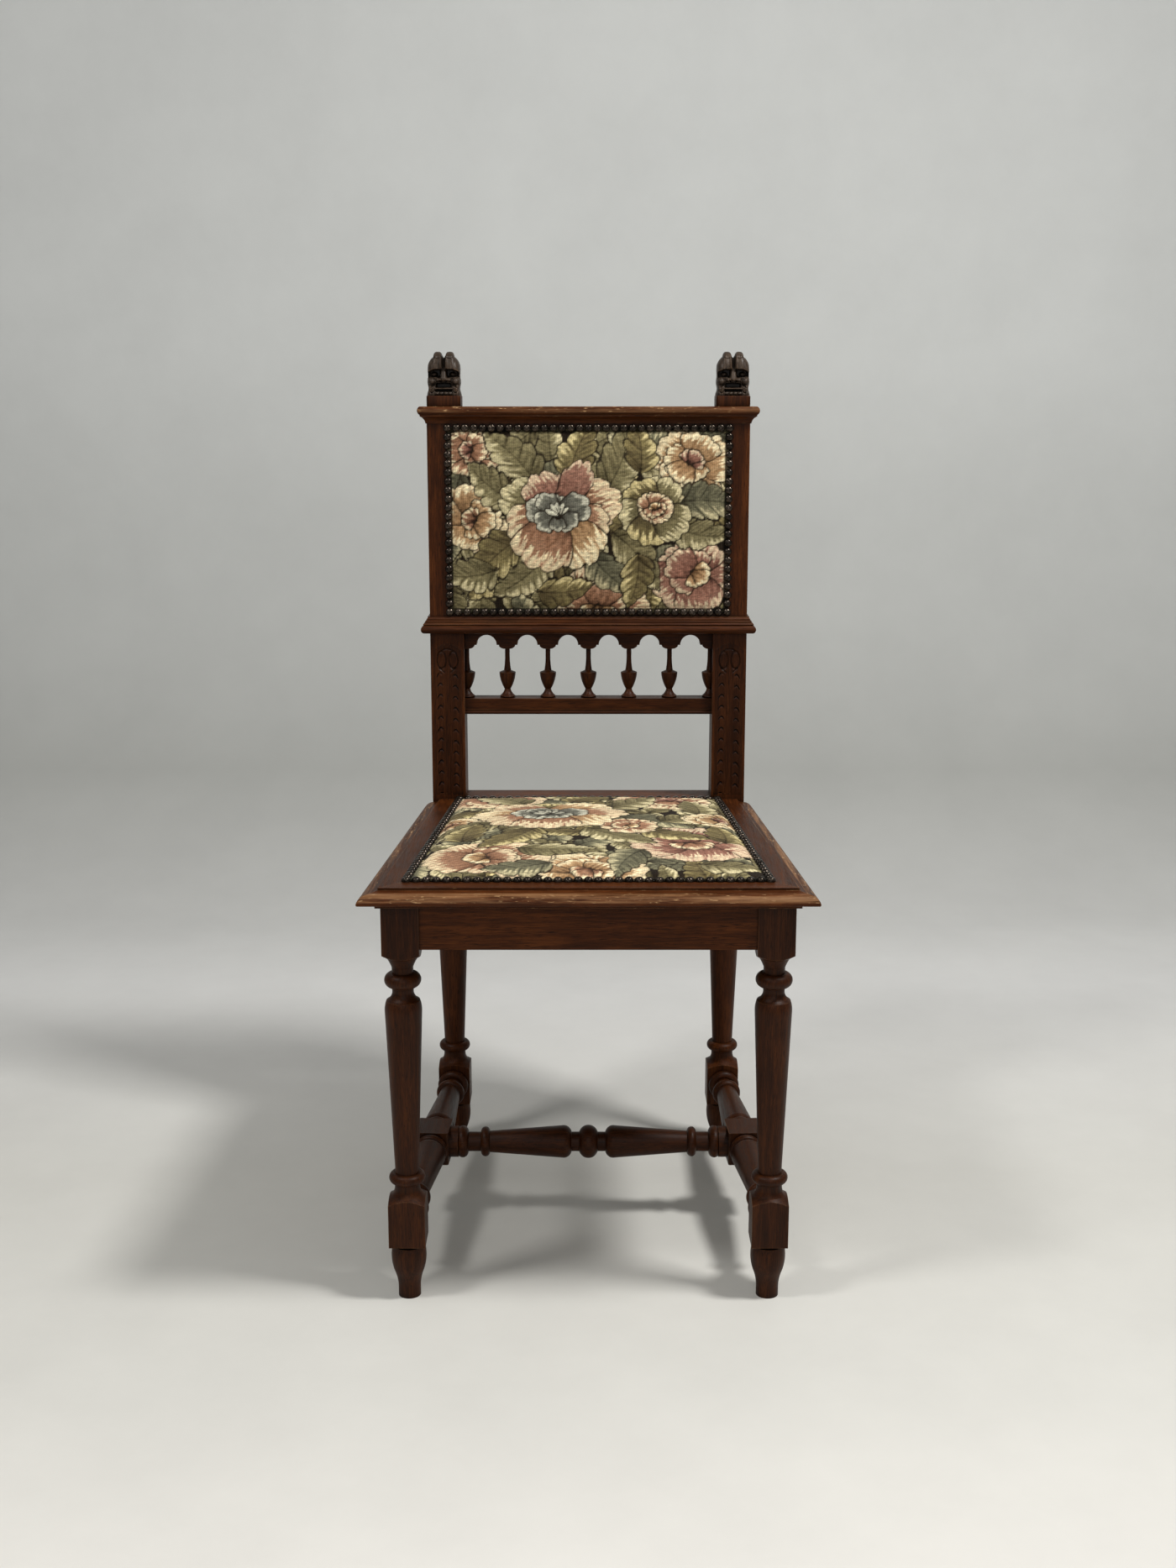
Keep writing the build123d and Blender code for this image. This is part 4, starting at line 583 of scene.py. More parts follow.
def grey_heart(cloth, x, y, band, petals, stamens, reach, wide):
    """Small grey petals folded over a flower's heart, and thin stamens before them."""
    for turn, far, half in petals:
        petal(cloth, x, y, turn, far, half, SLATE, 0.9, 2, 0.7, band)
    for turn in stamens:
        petal(cloth, x, y - 2, turn, reach, wide, SLATE, 1.0, 1, 0.9, 0.7)


def back_tapestry(x, y):
    """Colours and relief of the back: one large flower left of the middle among smaller ones."""
    cloth = blank_cloth(x, y, 11, 43.0)
    scatter(
        cloth,
        [
            (-142, 84, 38, 20, ROSE, MADDER, 5, 0.85), (-138, 2, 44, 300, PEACH, ROSE, 5, 0.95),
            (122, 70, 50, 215, PEACH, MADDER, 5, 0.9), (12, -104, 66, 82, ROSE, PEACH, 5, 0.85),
            (128, -62, 58, 140, MADDER, PEACH, 5, 0.9),
        ],
        [
            (-62, 44, 122, 84, 26, SAGE, 4, 0.25), (-22, 52, 84, 66, 24, OLIVE, 3, -0.3),
            (20, 36, 52, 78, 28, SAGE, 3, 0.3), (30, -14, -34, 84, 25, SAGE, 4, -0.3),
            (4, -40, -58, 66, 22, MOSS, 3, 0.3), (-50, -40, -128, 78, 26, SAGE, 4, -0.25),
            (-84, -22, -152, 80, 27, OLIVE, 4, 0.3), (-92, 26, 158, 64, 23, SAGE, 4, -0.3),
            (62, 58, 80, 58, 21, OLIVE, 3, 0.3), (108, 22, 12, 76, 24, MOSS, 4, -0.3),
            (104, -6, -30, 66, 21, SAGE, 3, 0.4), (60, -40, -84, 62, 21, OLIVE, 3, -0.3),
            (-112, -58, 206, 66, 23, SAGE, 4, -0.4), (-60, -84, -12, 62, 20, OLIVE, 3, 0.35),
        ],
    )
    green = [
        (62, 46, 24, SAGE, 0.2), (128, 44, 24, OLIVE, 0.24), (196, 42, 24, SAGE, 0.3),
        (258, 44, 26, OLIVE, 0.3), (330, 48, 26, SAGE, 0.26),
    ]
    wheel(cloth, 78, 12, 0.95, 0.45, green)
    scatter(cloth, [(80, 16, 22, 250, ROSE, PEACH, 6, 0.85)])
    large = [
        (158, 76, 30, SAGE, 0.2), (118, 60, 27, MADDER, 0.2), (18, 80, 31, ROSE, 0.3),
        (64, 78, 19, MADDER, 0.1), (342, 64, 27, ROSE, 0.22), (204, 66, 32, ROSE, 0.26),
        (300, 76, 36, PEACH, 0.3), (246, 78, 38, ROSE, 0.3),
    ]
    wheel(cloth, -36, 8, 0.92, 0.5, large)
    heart = [
        (92, 26, 13), (160, 40, 19), (24, 42, 20), (128, 34, 13), (212, 30, 15), (326, 27, 14),
        (270, 22, 10),
    ]
    grey_heart(cloth, -37, 8, 0.18, heart, (40, 66, 92, 120, 150), 17, 2.8)
    return speckled(cloth, 5)


def seat_tapestry(x, y):
    """Colours and relief of the seat: a pale flower left of the middle, roses at the corners."""
    cloth = blank_cloth(x, y, 23, 39.0)
    scatter(
        cloth,
        [
            (-112, 150, 58, 250, ROSE, MADDER, 5, 0.9), (-160, 24, 42, 320, PEACH, ROSE, 5, 0.9),
            (98, 142, 64, 260, ROSE, MADDER, 5, 0.85), (0, -166, 58, 80, PEACH, ROSE, 5, 0.85),
            (-112, -124, 70, 40, ROSE, PEACH, 5, 0.85), (112, -70, 80, 130, MADDER, ROSE, 5, 0.9),
        ],
        [
            (-76, 116, 118, 82, 26, SAGE, 4, 0.3), (-20, 124, 70, 78, 25, OLIVE, 3, -0.3),
            (22, 92, 34, 92, 28, SAGE, 4, 0.35), (28, 40, -8, 96, 28, MOSS, 4, -0.3),
            (0, -10, -58, 94, 28, SAGE, 4, 0.3), (-60, -10, -112, 92, 27, OLIVE, 4, -0.3),
            (-104, 18, -156, 84, 26, SAGE, 4, 0.3), (62, -20, -40, 78, 24, OLIVE, 3, 0.4),
            (84, 24, 40, 80, 25, SAGE, 4, -0.3), (130, 70, 82, 74, 24, SAGE, 4, 0.3),
            (60, -100, -128, 80, 24, MOSS, 4, 0.3), (152, -60, 80, 72, 23, OLIVE, 3, 0.3),
            (-76, -92, -20, 80, 24, SAGE, 4, 0.3), (-140, -56, 96, 74, 24, OLIVE, 4, -0.3),
            (-40, -146, -150, 72, 23, MOSS, 3, -0.3), (120, -146, -20, 68, 22, SAGE, 3, 0.3),
        ],
    )
    scatter(cloth, [(150, 44, 40, 200, PEACH, MADDER, 5, 0.9), (46, 0, 36, 140, ROSE, PEACH, 5, 0.9)])
    large = [
        (92, 70, 34, OLIVE, 0.24), (138, 84, 34, ROSE, 0.28), (44, 90, 36, PEACH, 0.28),
        (180, 92, 32, PEACH, 0.32), (2, 94, 34, ROSE, 0.28), (220, 84, 36, ROSE, 0.32),
        (316, 90, 36, PEACH, 0.32), (268, 84, 40, ROSE, 0.36),
    ]
    wheel(cloth, -46, 58, 0.85, 0.5, large)
    heart = [
        (94, 30, 15), (162, 46, 21), (18, 48, 22), (124, 38, 15), (220, 34, 17), (322, 30, 16),
        (270, 25, 12),
    ]
    grey_heart(cloth, -46, 58, 0.2, heart, (20, 60, 95, 130, 165), 20, 3.4)
    return speckled(cloth, 9)


def softened(field):
    """The field with each point averaged with its neighbours, edges kept."""
    wide = np.pad(field, 1, mode="edge")
    rows = (wide[:-2] + 2 * wide[1:-1] + wide[2:]) / 4
    return (rows[:, :-2] + 2 * rows[:, 1:-1] + rows[:, 2:]) / 4


def crown_shape(inset_x, inset_y, reach_x, reach_y, roll):
    """Rise of stuffed cloth, 0 where the nails hold it flat and 1 in the middle.

    Each way it is one minus a power of the distance from the middle, mixed with an edge roll that
    climbs within a few millimetres of the nails; the two ways are multiplied.
    """
    rises = []
    for inset, reach in ((inset_x, reach_x), (inset_y, reach_y)):
        swelling = 1.0 - unit(1.0 - inset / reach) ** 2.4
        rolled = 1.0 - np.exp(-np.clip(inset, 0.0, None) / 5.0)
        rises.append((1.0 - roll) * swelling + roll * rolled)
    return rises[0] * rises[1]


def seat_half(y):
    """Half width of the nail line of the seat at y."""
    front = NOSING_HALF - SEAT_NAIL_INSET / math.cos(math.atan(SEAT_SKEW))
    return front - (y - NOSING_Y) * SEAT_SKEW


def back_half(h):
    """Half width of the nail line of the back, the same at every height."""
    return BACK_NAIL_HALF + 0.0 * h


def nail_line(low, high, half_at):
    """Corners of a line of nails from low to high."""
    near = half_at(low)
    far = half_at(high)
    return np.array([[-near, low], [near, low], [far, high], [-far, high]])


def nail_rows(corners, pitch):
    """Nail centres round a closed line of corners, evenly spaced on each side."""
    ends = np.roll(corners, -1, axis=0)
    rows = []
    for start, end in zip(corners, ends):
        count = math.ceil(np.hypot(*(end - start)) / pitch)
        rows.append(start + (end - start) * (np.arange(count) / count)[:, None])
    return np.concatenate(rows)


def nail_heads(centres, normal, side, radius, height, seed):
    """Points, faces and tints of domed nail heads standing on a flat face.

    Each head is a grid of five rings of twelve points: a short straight rim, then a dome close to
    half an ellipse. Centres are points in space; normal and side are unit vectors.
    """
    rng = np.random.default_rng(seed)
    out = np.array([1.0, 1.0, 0.85, 0.53, 0.06])
    up = np.array([0.05 - COVER_THICK, 0.2 * height, 0.62 * height, 0.9 * height, height]) / height
    turn = np.linspace(0, 2 * math.pi, 12, endpoint=False)
    other = np.cross(normal, side)
    ring = np.cos(turn)[:, None] * side + np.sin(turn)[:, None] * other
    size = radius * rng.uniform(0.94, 1.0, len(centres))
    lift = height * rng.uniform(0.88, 1.0, len(centres))
    tilt = rng.normal(0.0, 0.03, (len(centres), 2))
    slope = 1.0 + tilt[:, :1] * np.cos(turn) + tilt[:, 1:] * np.sin(turn)
    flat = (size[:, None] * out)[:, :, None, None] * ring
    tall = ((lift[:, None] * up)[:, :, None] * slope[:, None, :])[..., None] * normal
    points = centres[:, None, None, :] + flat + tall
    one = grid_quads(len(out), len(turn), wrap=True)
    step = len(out) * len(turn)
    quads = (one[None] + (np.arange(len(centres)) * step)[:, None, None]).reshape(-1, 4)
    last = np.arange(len(turn)) + (len(out) - 1) * len(turn)
    caps = last[None] + (np.arange(len(centres)) * step)[:, None]
    tones = np.repeat(rng.uniform(0.55, 1.35, (len(centres), 1)), step, axis=0) * np.ones(3)
    return points.reshape(-1, 3), quads.tolist() + caps.tolist(), tones


def rounded_ring(count, half_x, half_y, power):
    """Evenly spaced points round a rounded square, |x|^power + |y|^power = 1, from its front middle."""
    angle = np.linspace(0.0, 2.0 * math.pi, 8001)
    x = half_x * np.sign(np.sin(angle)) * np.abs(np.sin(angle)) ** (2.0 / power)
    y = half_y * np.sign(np.cos(angle)) * np.abs(np.cos(angle)) ** (2.0 / power)
    length = np.concatenate([[0.0], np.cumsum(np.hypot(np.diff(x), np.diff(y)))])
    spots = np.linspace(0.0, length[-1], count, endpoint=False)
    return np.interp(spots, length, x), np.interp(spots, length, y)


def swell(across, up, half_x, half_z):
    """Height of a round swelling, 1 at its middle and 0 outside its oval."""
    return np.sqrt(unit(1.0 - (across / half_x) ** 2 - (up / half_z) ** 2))


def close_seams(piece):
    """Join the points that meet at seams, and turn all faces outwards."""
    shell = bmesh.new()
    shell.from_mesh(piece.data)
    bmesh.ops.remove_doubles(shell, verts=shell.verts, dist=0.001 * MM)
    bmesh.ops.recalc_face_normals(shell, faces=shell.faces)
    shell.to_mesh(piece.data)
    shell.free()


def carved_panel(side, depth):
    """Points and faces of the leaf carving in the front of a post.

    A height over a grid of x and h, flush with the post: on each side of a plain stem a row of
    gouge cuts, each a bow that is deepest along its upper edge and runs out below it, and at the
    top a pair of curled leaves, cut as ovals with hollow middles, under a bowed cut.
    """
    across = np.linspace(-PANEL_HALF - PANEL_LAP, PANEL_HALF + PANEL_LAP, 71)
    share = np.linspace(0.0, 1.0, 401)
    x, t = np.meshgrid(across, share)
    top = PANEL_HIGH + PANEL_LAP - PANEL_ARCH * (x / PANEL_HALF) ** 2
    h = PANEL_LOW - PANEL_LAP + t * (top - PANEL_LOW + PANEL_LAP)
    far = np.abs(x)
    pitch = 13.7
    bow = (h - PANEL_LOW) / pitch + 0.022 * (far - 9.0) ** 2 + 0.1 * np.sign(x)
    below = (1.0 - (bow - np.floor(bow))) * pitch
    wander = 0.5 + 0.5 * np.sin(2.4 * np.floor(bow) + 3.0 * side + x / far.max())
    width = unit((4.0 - np.abs(far - 9.2 - 0.8 * wander)) / 1.4)
    cuts = unit(below / 0.5) * unit(1.0 - below / (3.0 + 1.2 * wander)) ** 1.3 * width
    rows = unit((PANEL_HIGH - 34.0 - h) / 1.5)
    stem = 0.12 * bell(far - 3.4, 0.6)
    curl = np.hypot((far - 7.2) / 5.4, (h - PANEL_HIGH + 19.0) / 10.5)
    leaves = 0.62 * bell(curl - 1.0, 0.13) + 0.26 * unit(1.0 - curl) ** 0.5
    dip = h - PANEL_HIGH + 33.0 - 0.9 * (far - 4.0)
    slant = 0.6 * unit(1.0 - np.abs(dip + 1.0) / 1.6) * unit(3.6 - np.abs(far - 7.0))
    crown = 0.55 * bell(h - PANEL_HIGH + 5.0 + 0.05 * far**2, 0.9) * unit(8.0 - far)
    n = PANEL_PROUD - depth * (cuts * rows + stem + leaves * (1.0 - rows) + slant + crown)
    points = back_point(side * POST_X + x, h, n)
    return points, grid_quads(*x.shape).tolist()


def mask_head(side):
    """Points and faces of a grotesque mask on its square plinth, and which faces are the plinth's.

    The head is a rounded square ring carried up to an outline of two brows and two tufts, where its
    front and back meet. On its front stands a height over x and z: brows with a sharp lower edge,
    two ridges between them, eyes in deep sockets, a nose that widens downwards, cheeks, an open
    mouth, a lip and a row of beard locks; its back has plain locks of hair.
    """
    ring_x, ring_y = rounded_ring(280, 1.0, 0.7, 5.0)
    up = 1.0 - (1.0 - np.linspace(0.0, 1.0, 170)[:, None]) ** 1.6
    flat = np.abs(ring_x) * 19.4
    brows = 29.0 + 19.0 * np.sqrt(unit(1.0 - (flat / 20.2) ** 3)) - 3.5 * bell(flat, 1.7)
    tufts = 45.3 + 6.2 * np.sqrt(unit(1.0 - np.abs((flat - 7.2) / 5.4) ** 3))
    crest = np.where(np.abs(flat - 7.2) < 5.4, np.maximum(brows, tufts), brows)
    z = up * crest
    wave = 0.9 * np.cos(2.0 * math.pi * (z - 1.0) / 15.5) * unit(1.0 - z / 34.0)
    x = ring_x * (19.3 + wave + 0.2 * unit(1.0 - z / 7.0))
    roof = (1.0 - unit(up) ** 7) ** 0.45
    facing = ring_y / 0.7
    a = np.abs(x)
    edge = 30.6 - 3.6 * unit((a - 9.0) / 10.0) ** 1.5
    over = z - edge
    dome = unit(over / 0.7) * unit(1.0 - (over / 20.0) ** 2)
    relief = 4.6 * dome * np.sqrt(unit(1.0 - ((a - 10.6) / 9.6) ** 2))
    upper = unit((z - 30.0) / 2.0)
    relief += upper * (3.2 * bell(a - 3.4, 1.1) - 1.2 * bell(a, 1.2))
    relief += 2.2 * swell(a - 7.2, z - 48.0, 5.2, 4.6) - 0.8 * upper * bell(a - 7.4, 0.7) * (z > 43)
    socket = unit(-over / 0.7) * unit((z - 20.5) / 2.5)
    relief -= 6.0 * socket * unit((a - 2.6) / 2.0) * unit((18.6 - a) / 1.5)
    relief += 5.2 * swell(a - 10.8, z - 25.0, 3.8, 2.7)
    lid = z - 21.0 - 0.05 * (a - 11.0) ** 2
    relief += 1.6 * bell(lid, 0.8) * unit((6.5 - np.abs(a - 11.0)) / 2.0)
    broad = np.clip(4.8 - 0.22 * (z - 20.0), 2.2, 5.0)
    bridge = np.sqrt(unit(1.0 - (a / broad) ** 2)) * unit((z - 16.6) / 1.2)
    relief += bridge * np.clip(5.6 - 0.3 * (z - 20.0), 0.0, 5.6) * unit((36.0 - z) / 4.0)
    relief += 4.2 * swell(a - 6.2, z - 18.4, 2.9, 2.5)
    relief -= 3.0 * bell(a - 3.4, 1.1) * bell(z - 17.0, 0.9)
    relief += 3.4 * swell(a - 15.0, z - 16.6, 4.4, 3.8)
    fold = z - 22.0 + 0.85 * (a - 7.0)
    relief -= 1.8 * bell(fold + 5.2, 1.0) * unit((5.0 - np.abs(a - 12.0)) / 2.0)
    mouth = unit((z - 9.4) / 0.8) * unit((15.6 - z - 0.1 * a) / 0.8)
    relief -= 8.0 * mouth * unit((9.4 - a) / 1.2)
    relief += 2.6 * bell(z - 8.3, 1.1) * unit((11.0 - a) / 1.5)
    relief -= 3.4 * bell(z - 5.9, 0.9) * unit((10.5 - a) / 1.5)
    locks = np.abs(np.cos(math.pi * (x / 5.2 + 0.5))) ** 0.6 * unit(1.0 - ((z - 2.4) / 2.8) ** 2)
    relief += 2.4 * locks * unit((11.5 - a) / 1.5)
    jowl = np.sqrt(unit(1.0 - ((a - 14.6) / 4.6) ** 2)) * unit((12.5 - z) / 2.5)
    relief += 3.0 * jowl * (1.0 - 0.35 * bell(a - 14.4, 0.6))
    relief -= 1.4 * bell(z - 3.2 - 0.3 * (a - 14.0) ** 2, 0.6) * (a > 10.5)
    front = unit((facing - 0.25) / 0.5)
    hair = np.abs(np.cos(math.pi * (x / 6.4 + 0.25 * np.sin(z / 6.0)))) ** 0.5
    rear = unit((-facing - 0.3) / 0.5)
    y = facing * 12.8 * roof + roof * (np.clip(relief, -9.0, 6.0) * front - 1.8 * (hair - 0.6) * rear)
    head = np.stack([x, y, z + PLINTH_HEIGHT], axis=-1)
    block_x, block_y = rounded_ring(96, PLINTH_HALF_X, PLINTH_HALF_Y, 14.0)
    rise = np.array([0.0, 0.4, 1.0, 6.0, PLINTH_HEIGHT - 0.8, PLINTH_HEIGHT - 0.2, PLINTH_HEIGHT])
    scale = np.array([0.985, 0.995, 1.0, 1.0, 1.0, 0.99, 0.97])[:, None]
    block = np.stack([block_x * scale, block_y * scale, rise[:, None] + 0 * block_x], axis=-1)
    shape = np.concatenate([head.reshape(-1, 3), block.reshape(-1, 3)])
    points = back_point(side * POST_X + shape[:, 0], CREST_TOP + shape[:, 2], shape[:, 1] - PLINTH_HALF_Y)
    first = x.size
    faces = grid_quads(*x.shape, True)[:, ::-1].tolist() + [np.arange(x.shape[1]).tolist()]
    carved = len(faces)
    faces += grid_quads(*block.shape[:2], True, first)[:, ::-1].tolist()
    ends = np.arange(len(block_x)) + first
    faces += [ends.tolist(), (ends + (len(rise) - 1) * len(block_x))[::-1].tolist()]
    return points, faces, np.arange(len(faces)) >= carved


def ribbon(start, end, axis, lift, centre, period):
    """One web of the seat: a flat ribbon along an axis that rises and falls as a cosine along it."""
    start = np.array(start)
    run = np.array(end) - start
    line = start + run * np.linspace(0.0, 1.0, 97)[:, None]
    side = np.array([-run[1], run[0], 0.0]) / np.hypot(*run[:2])
    line[:, 2] += lift * np.cos(math.pi * (line[:, axis] - centre) / period) + WEB_THICK / 2
    return line[:, None, :] - np.linspace(-0.5, 0.5, 9)[None, :, None] * WEB_WIDTH * side


def thicken(piece, label, thickness, offset=-1.0):
    """Give a sheet its thickness in metres."""
    thick = piece.modifiers.new(label, "SOLIDIFY")
    thick.thickness = thickness
    thick.offset = offset


def stuffed_pad(soft, word, low, high, half_at, place, weave, crown_height, roll, rib_axis, nail_shadow_levels):
    """A padded piece between its nail lines: crowned cloth with raised yarn, closed underneath.

    Its rows run from low to high and are as wide as half_at says. Under the nails the cloth is only
    as bright as the first of the two levels, a painted shadow of their heads, and it gains the second
    clear of them.
    """
    step = soft.mesh_step / MM
    low = low - CLOTH_EDGE
    high = high + CLOTH_EDGE
    share = np.linspace(-1.0, 1.0, int(2 * (half_at(low) + CLOTH_EDGE) / step))
    s, y = np.meshgrid(share, np.linspace(low, high, int((high - low) / step)))
    half = half_at(y) + CLOTH_EDGE
    x = s * half
    cloth = weave(x, y - 0.5 * (low + high))
    flat = CLOTH_EDGE + NAILED_FLAT
    inset_x = half - np.abs(x) - flat
    inset_y = np.minimum(y - low, high - y) - flat
    inset = np.minimum(inset_x, inset_y)
    crown = crown_shape(inset_x, inset_y, half - flat, 0.5 * (high - low) - flat, roll)
    rise = softened(cloth["rise"]) * unit(inset / 5.0 + 0.3) * soft.relief / MM
    top = place(x, y, COVER_THICK + crown * crown_height / MM + rise)
    points, faces = closed_pad(top, place(x, y, PAD_FLOOR))
    wool = tapestry_wool(f"Tapestry wool of the {word}", rib_axis)
    piece = build_piece(f"{word}_tapestry_pad", points, faces, wool)
    # Painted shadow: the yarn darkens under and between the nail heads
    yarn = cloth["rgb"] * (nail_shadow_levels[0] + nail_shadow_levels[1] * unit(inset + 1.6))[..., None]
    wall = np.zeros((len(points) - x.size, 3)) + srgb(GROUND)
    store_colour(piece, "yarn", np.concatenate([yarn.reshape(-1, 3), wall]))
    return piece


class OBJECT_OT_chair_stage(bpy.types.Operator):
    """Set up the camera, the pale studio sweep and the soft lights"""

    bl_idname = "object.chair_stage"
    bl_label = "Studio"

    def execute(self, context):
        settings = context.scene.chair_stage
        camera = bpy.data.cameras.new("Camera")
        camera.sensor_width = 36.0
        camera.lens = settings.lens
        camera.shift_x = EYE_SHIFT
        eye = bpy.data.objects.new("Camera", camera)
        eye.location = EYE_PLACE
        eye.rotation_euler = (math.pi / 2 - settings.tilt, 0.0, 0.0)
        context.scene.collection.objects.link(eye)
        context.scene.camera = eye

        # Painted sweep: pale matt paint with painted shade, darker round the chair, greyer up the wall
        # and paler again at its top
        material, node, place = new_material("Pale sweep paint with painted shade")
        parts = node("SeparateXYZ", {0: place})
        path = node("Math", {0: parts.outputs["Y"], 1: parts.outputs["Z"]}, operation="ADD")
        depth = node("MapRange", {0: path, 1: -1.0, 2: 4.0})
        # Painted shade: the grey steps stand for the fall of light over the floor and up the wall
        colour = node(
            "ValToRGB", {0: depth},
            stops=[
                (0.06, tint("#e2e0da")), (0.12, tint("#d4d3cd")), (0.22, tint("#cbcac4")),
                (0.37, tint("#d6d6d4")), (0.57, tint("#afb0ac")), (0.78, tint("#d0d2d0")),
            ],
        )
        cloud = node("TexNoise", {"Vector": place, "Scale": 5.0, "Detail": 6.0, "Roughness": 0.65})
        brush = node("MapRange", {0: cloud, 1: 0.3, 2: 0.7, 3: 0.955, 4: 1.02})
        uneven = node("MixRGB", {0: 1.0, 1: colour, 2: brush}, blend_type="MULTIPLY")
        paint = node("BsdfPrincipled", {"Base Color": uneven, "Roughness": 0.85})
        # From behind or below the sweep is clear to the camera, so that the chair can be seen past it
        turned = node("NewGeometry").outputs["Backfacing"]
        ray = node("LightPath").outputs["Is Camera Ray"]
        behind = node("Math", {0: turned, 1: ray}, operation="MULTIPLY")
        clear = node("BsdfTransparent")
        node("OutputMaterial", {"Surface": node("MixShader", {0: behind, 1: paint, 2: clear})})
        bend = np.linspace(0.0, math.pi / 2, 25)
        radius = 700.0
        wall_y = 1900.0
        line_y = np.concatenate([[-4200.0, 0.0], wall_y - radius + radius * np.sin(bend), [wall_y]])
        line_z = np.concatenate([[0.0, 0.0], radius - radius * np.cos(bend), [4200.0]])
        x, y = np.meshgrid(np.linspace(-4500.0, 4500.0, 5), line_y)
        sweep = np.stack([x, y, line_z[:, None] + 0 * x], axis=-1)
        floor = build_piece("studio_sweep", sweep, grid_quads(*x.shape).tolist(), material)

        world = bpy.data.worlds.new("Studio air")
        world.use_nodes = True
        sky = world.node_tree.nodes["Background"]
        sky.inputs[0].default_value = tint("#f4f4f4")
        sky.inputs[1].default_value = 0.26
        context.scene.world = world
        for name, spot, size, power in (
            ("Right key", (1.15, -0.5, 2.55), 0.4, 54.0), ("Left fill", (-1.25, -0.8, 2.5), 0.4, 20.0),
            ("Front soft box", (0.0, -2.9, 1.9), 1.6, 14.0),
        ):
            lamp = bpy.data.lights.new(name, "AREA")
            lamp.size = size
            lamp.energy = power
            lamp.color = (1.0, 0.985, 0.965)
            holder = bpy.data.objects.new(name, lamp)
            holder.location = spot
            aim = np.array([0.0, 0.0, 0.5]) - np.array(spot)
            flat = math.hypot(aim[0], aim[1])
            holder.rotation_euler = (math.atan2(flat, -aim[2]), 0.0, math.atan2(-aim[0], aim[1]))
            context.scene.collection.objects.link(holder)
        context.scene.view_settings.view_transform = "Standard"
        return {"FINISHED"}


class OBJECT_OT_chair_wood(bpy.types.Operator):
    """Give the turned, moulded and hidden wood of the construction model its finish"""

    bl_idname = "object.chair_wood"
    bl_label = "Wood and screws"

    def execute(self, context):
        wood = context.scene.chair_wood
        wear = wood.wear
        finishes = [
            (plain_wood(), ("corner_block_front", "corner_block_rear")),
            (screw_steel(), ("corner_block_screws",)),
        ]
        # Turned parts and moulded edges are strongly darkened in their creases: dirt and painted shade
        turned = {"dirt_and_shade": 0.92, "gloss": 0.13}
        seat_edge = {"dirt_and_shade": 0.9, "rubbed_z": SEAT_RUBBED_Z}
        crest_edge = {"dirt_and_shade": 0.9, "rubbed_z": CREST_RUBBED_Z}
        # Name, axis of the grain, wear, shade (the stain darkened as painted shade), other looks, and
        # starts of the nodes' names
        for name, along, rub, shade, looks, starts in (
            ("legs", "Z", wear, 0.57, turned, ("front_leg", "spindle", "half_spindle")),
            ("posts", "Z", wear, 0.76, {}, ("rear_post",)),
            ("back rails", "X", wear, 0.8, {}, ("middle_rail", "middle_moulding", "back_top_rail")),
            ("arcade and lower rail", "X", wear, 0.56, {}, ("lower_back_rail", "arcade_rail")),
            ("crest", "X", wear, 0.92, crest_edge, ("crest_cornice",)),
            ("seat frame front", "X", 0.95, 0.98, seat_edge, ("seat_frame_front", "seat_frame_back")),
            ("seat frame sides", "Y", 0.8, 0.76, seat_edge, ("seat_frame_left", "seat_frame_right")),
            ("seat rails", "X", 0.3, 0.98, {}, ("seat_rail_front", "seat_rail_back")),
            ("side rails", "Y", 0.3, 0.9, {}, ("seat_rail_left", "seat_rail_right")),
            ("side stretchers", "Y", wear, 0.57, turned, ("side_stretcher",)),
            ("cross stretcher", "X", wear, 0.57, turned, ("cross_stretcher",)),
        ):
            oak = stained_oak(f"Stained oak, {name}", along, wood.stain, rub, shade, **looks)
            finishes.append((oak, starts))
        for name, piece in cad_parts.items():
            for material, starts in finishes:
                if name.startswith(starts):
                    piece.data.materials.clear()
                    piece.data.materials.append(material)
        return {"FINISHED"}


class OBJECT_OT_chair_post_carving(bpy.types.Operator):
    """Carve the leaf panels in the fronts of the two posts"""

    bl_idname = "object.chair_post_carving"
    bl_label = "Post carving"

    def execute(self, context):
        wood = context.scene.chair_wood
        # Painted shade: the panels' stain is darkened, and their cuts are made dark by dirt and painted
        # shade
        oak = stained_oak(
            "Stained oak, carved panels", "Z", wood.stain, 0.1, 0.48, 0.96, nooks=(0.008, 0.6, 0.98)
        )
        for side, word in ((-1, "left"), (1, "right")):
            points, faces = carved_panel(side, wood.carving_depth / MM)
            piece = build_piece(f"leaf_carving_{word}", points, faces, oak)
            thicken(piece, "Carving thickness", CARVING_THICK * MM)
            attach(piece, "root")
        return {"FINISHED"}


class OBJECT_OT_chair_finials(bpy.types.Operator):
    """Carve the mask finials over the posts"""

    bl_idname = "object.chair_finials"
    bl_label = "Finials"

    def execute(self, context):
        wood = context.scene.chair_wood
        # Painted shade: the masks and plinths are darkened, and the masks' hollows are made dark by dirt
        # and painted shade
        dark = stained_oak(
            "Stained oak, dark carved masks", "Z", srgb("#45372b"), 0.5, 0.74, 0.92, gloss=0.2
        )
        plain = stained_oak("Stained oak, plinths", "Z", wood.stain, wood.wear, 0.62)
        for side, word in ((-1, "left"), (1, "right")):
            points, faces, plinth = mask_head(side)
            piece = build_piece(f"mask_finial_{word}", points, faces, dark)
            piece.data.materials.append(plain)
            piece.data.polygons.foreach_set("material_index", plinth.astype(np.int32))
            close_seams(piece)
            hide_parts(f"carved_finial_{word}")
            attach(piece, "root")
        return {"FINISHED"}


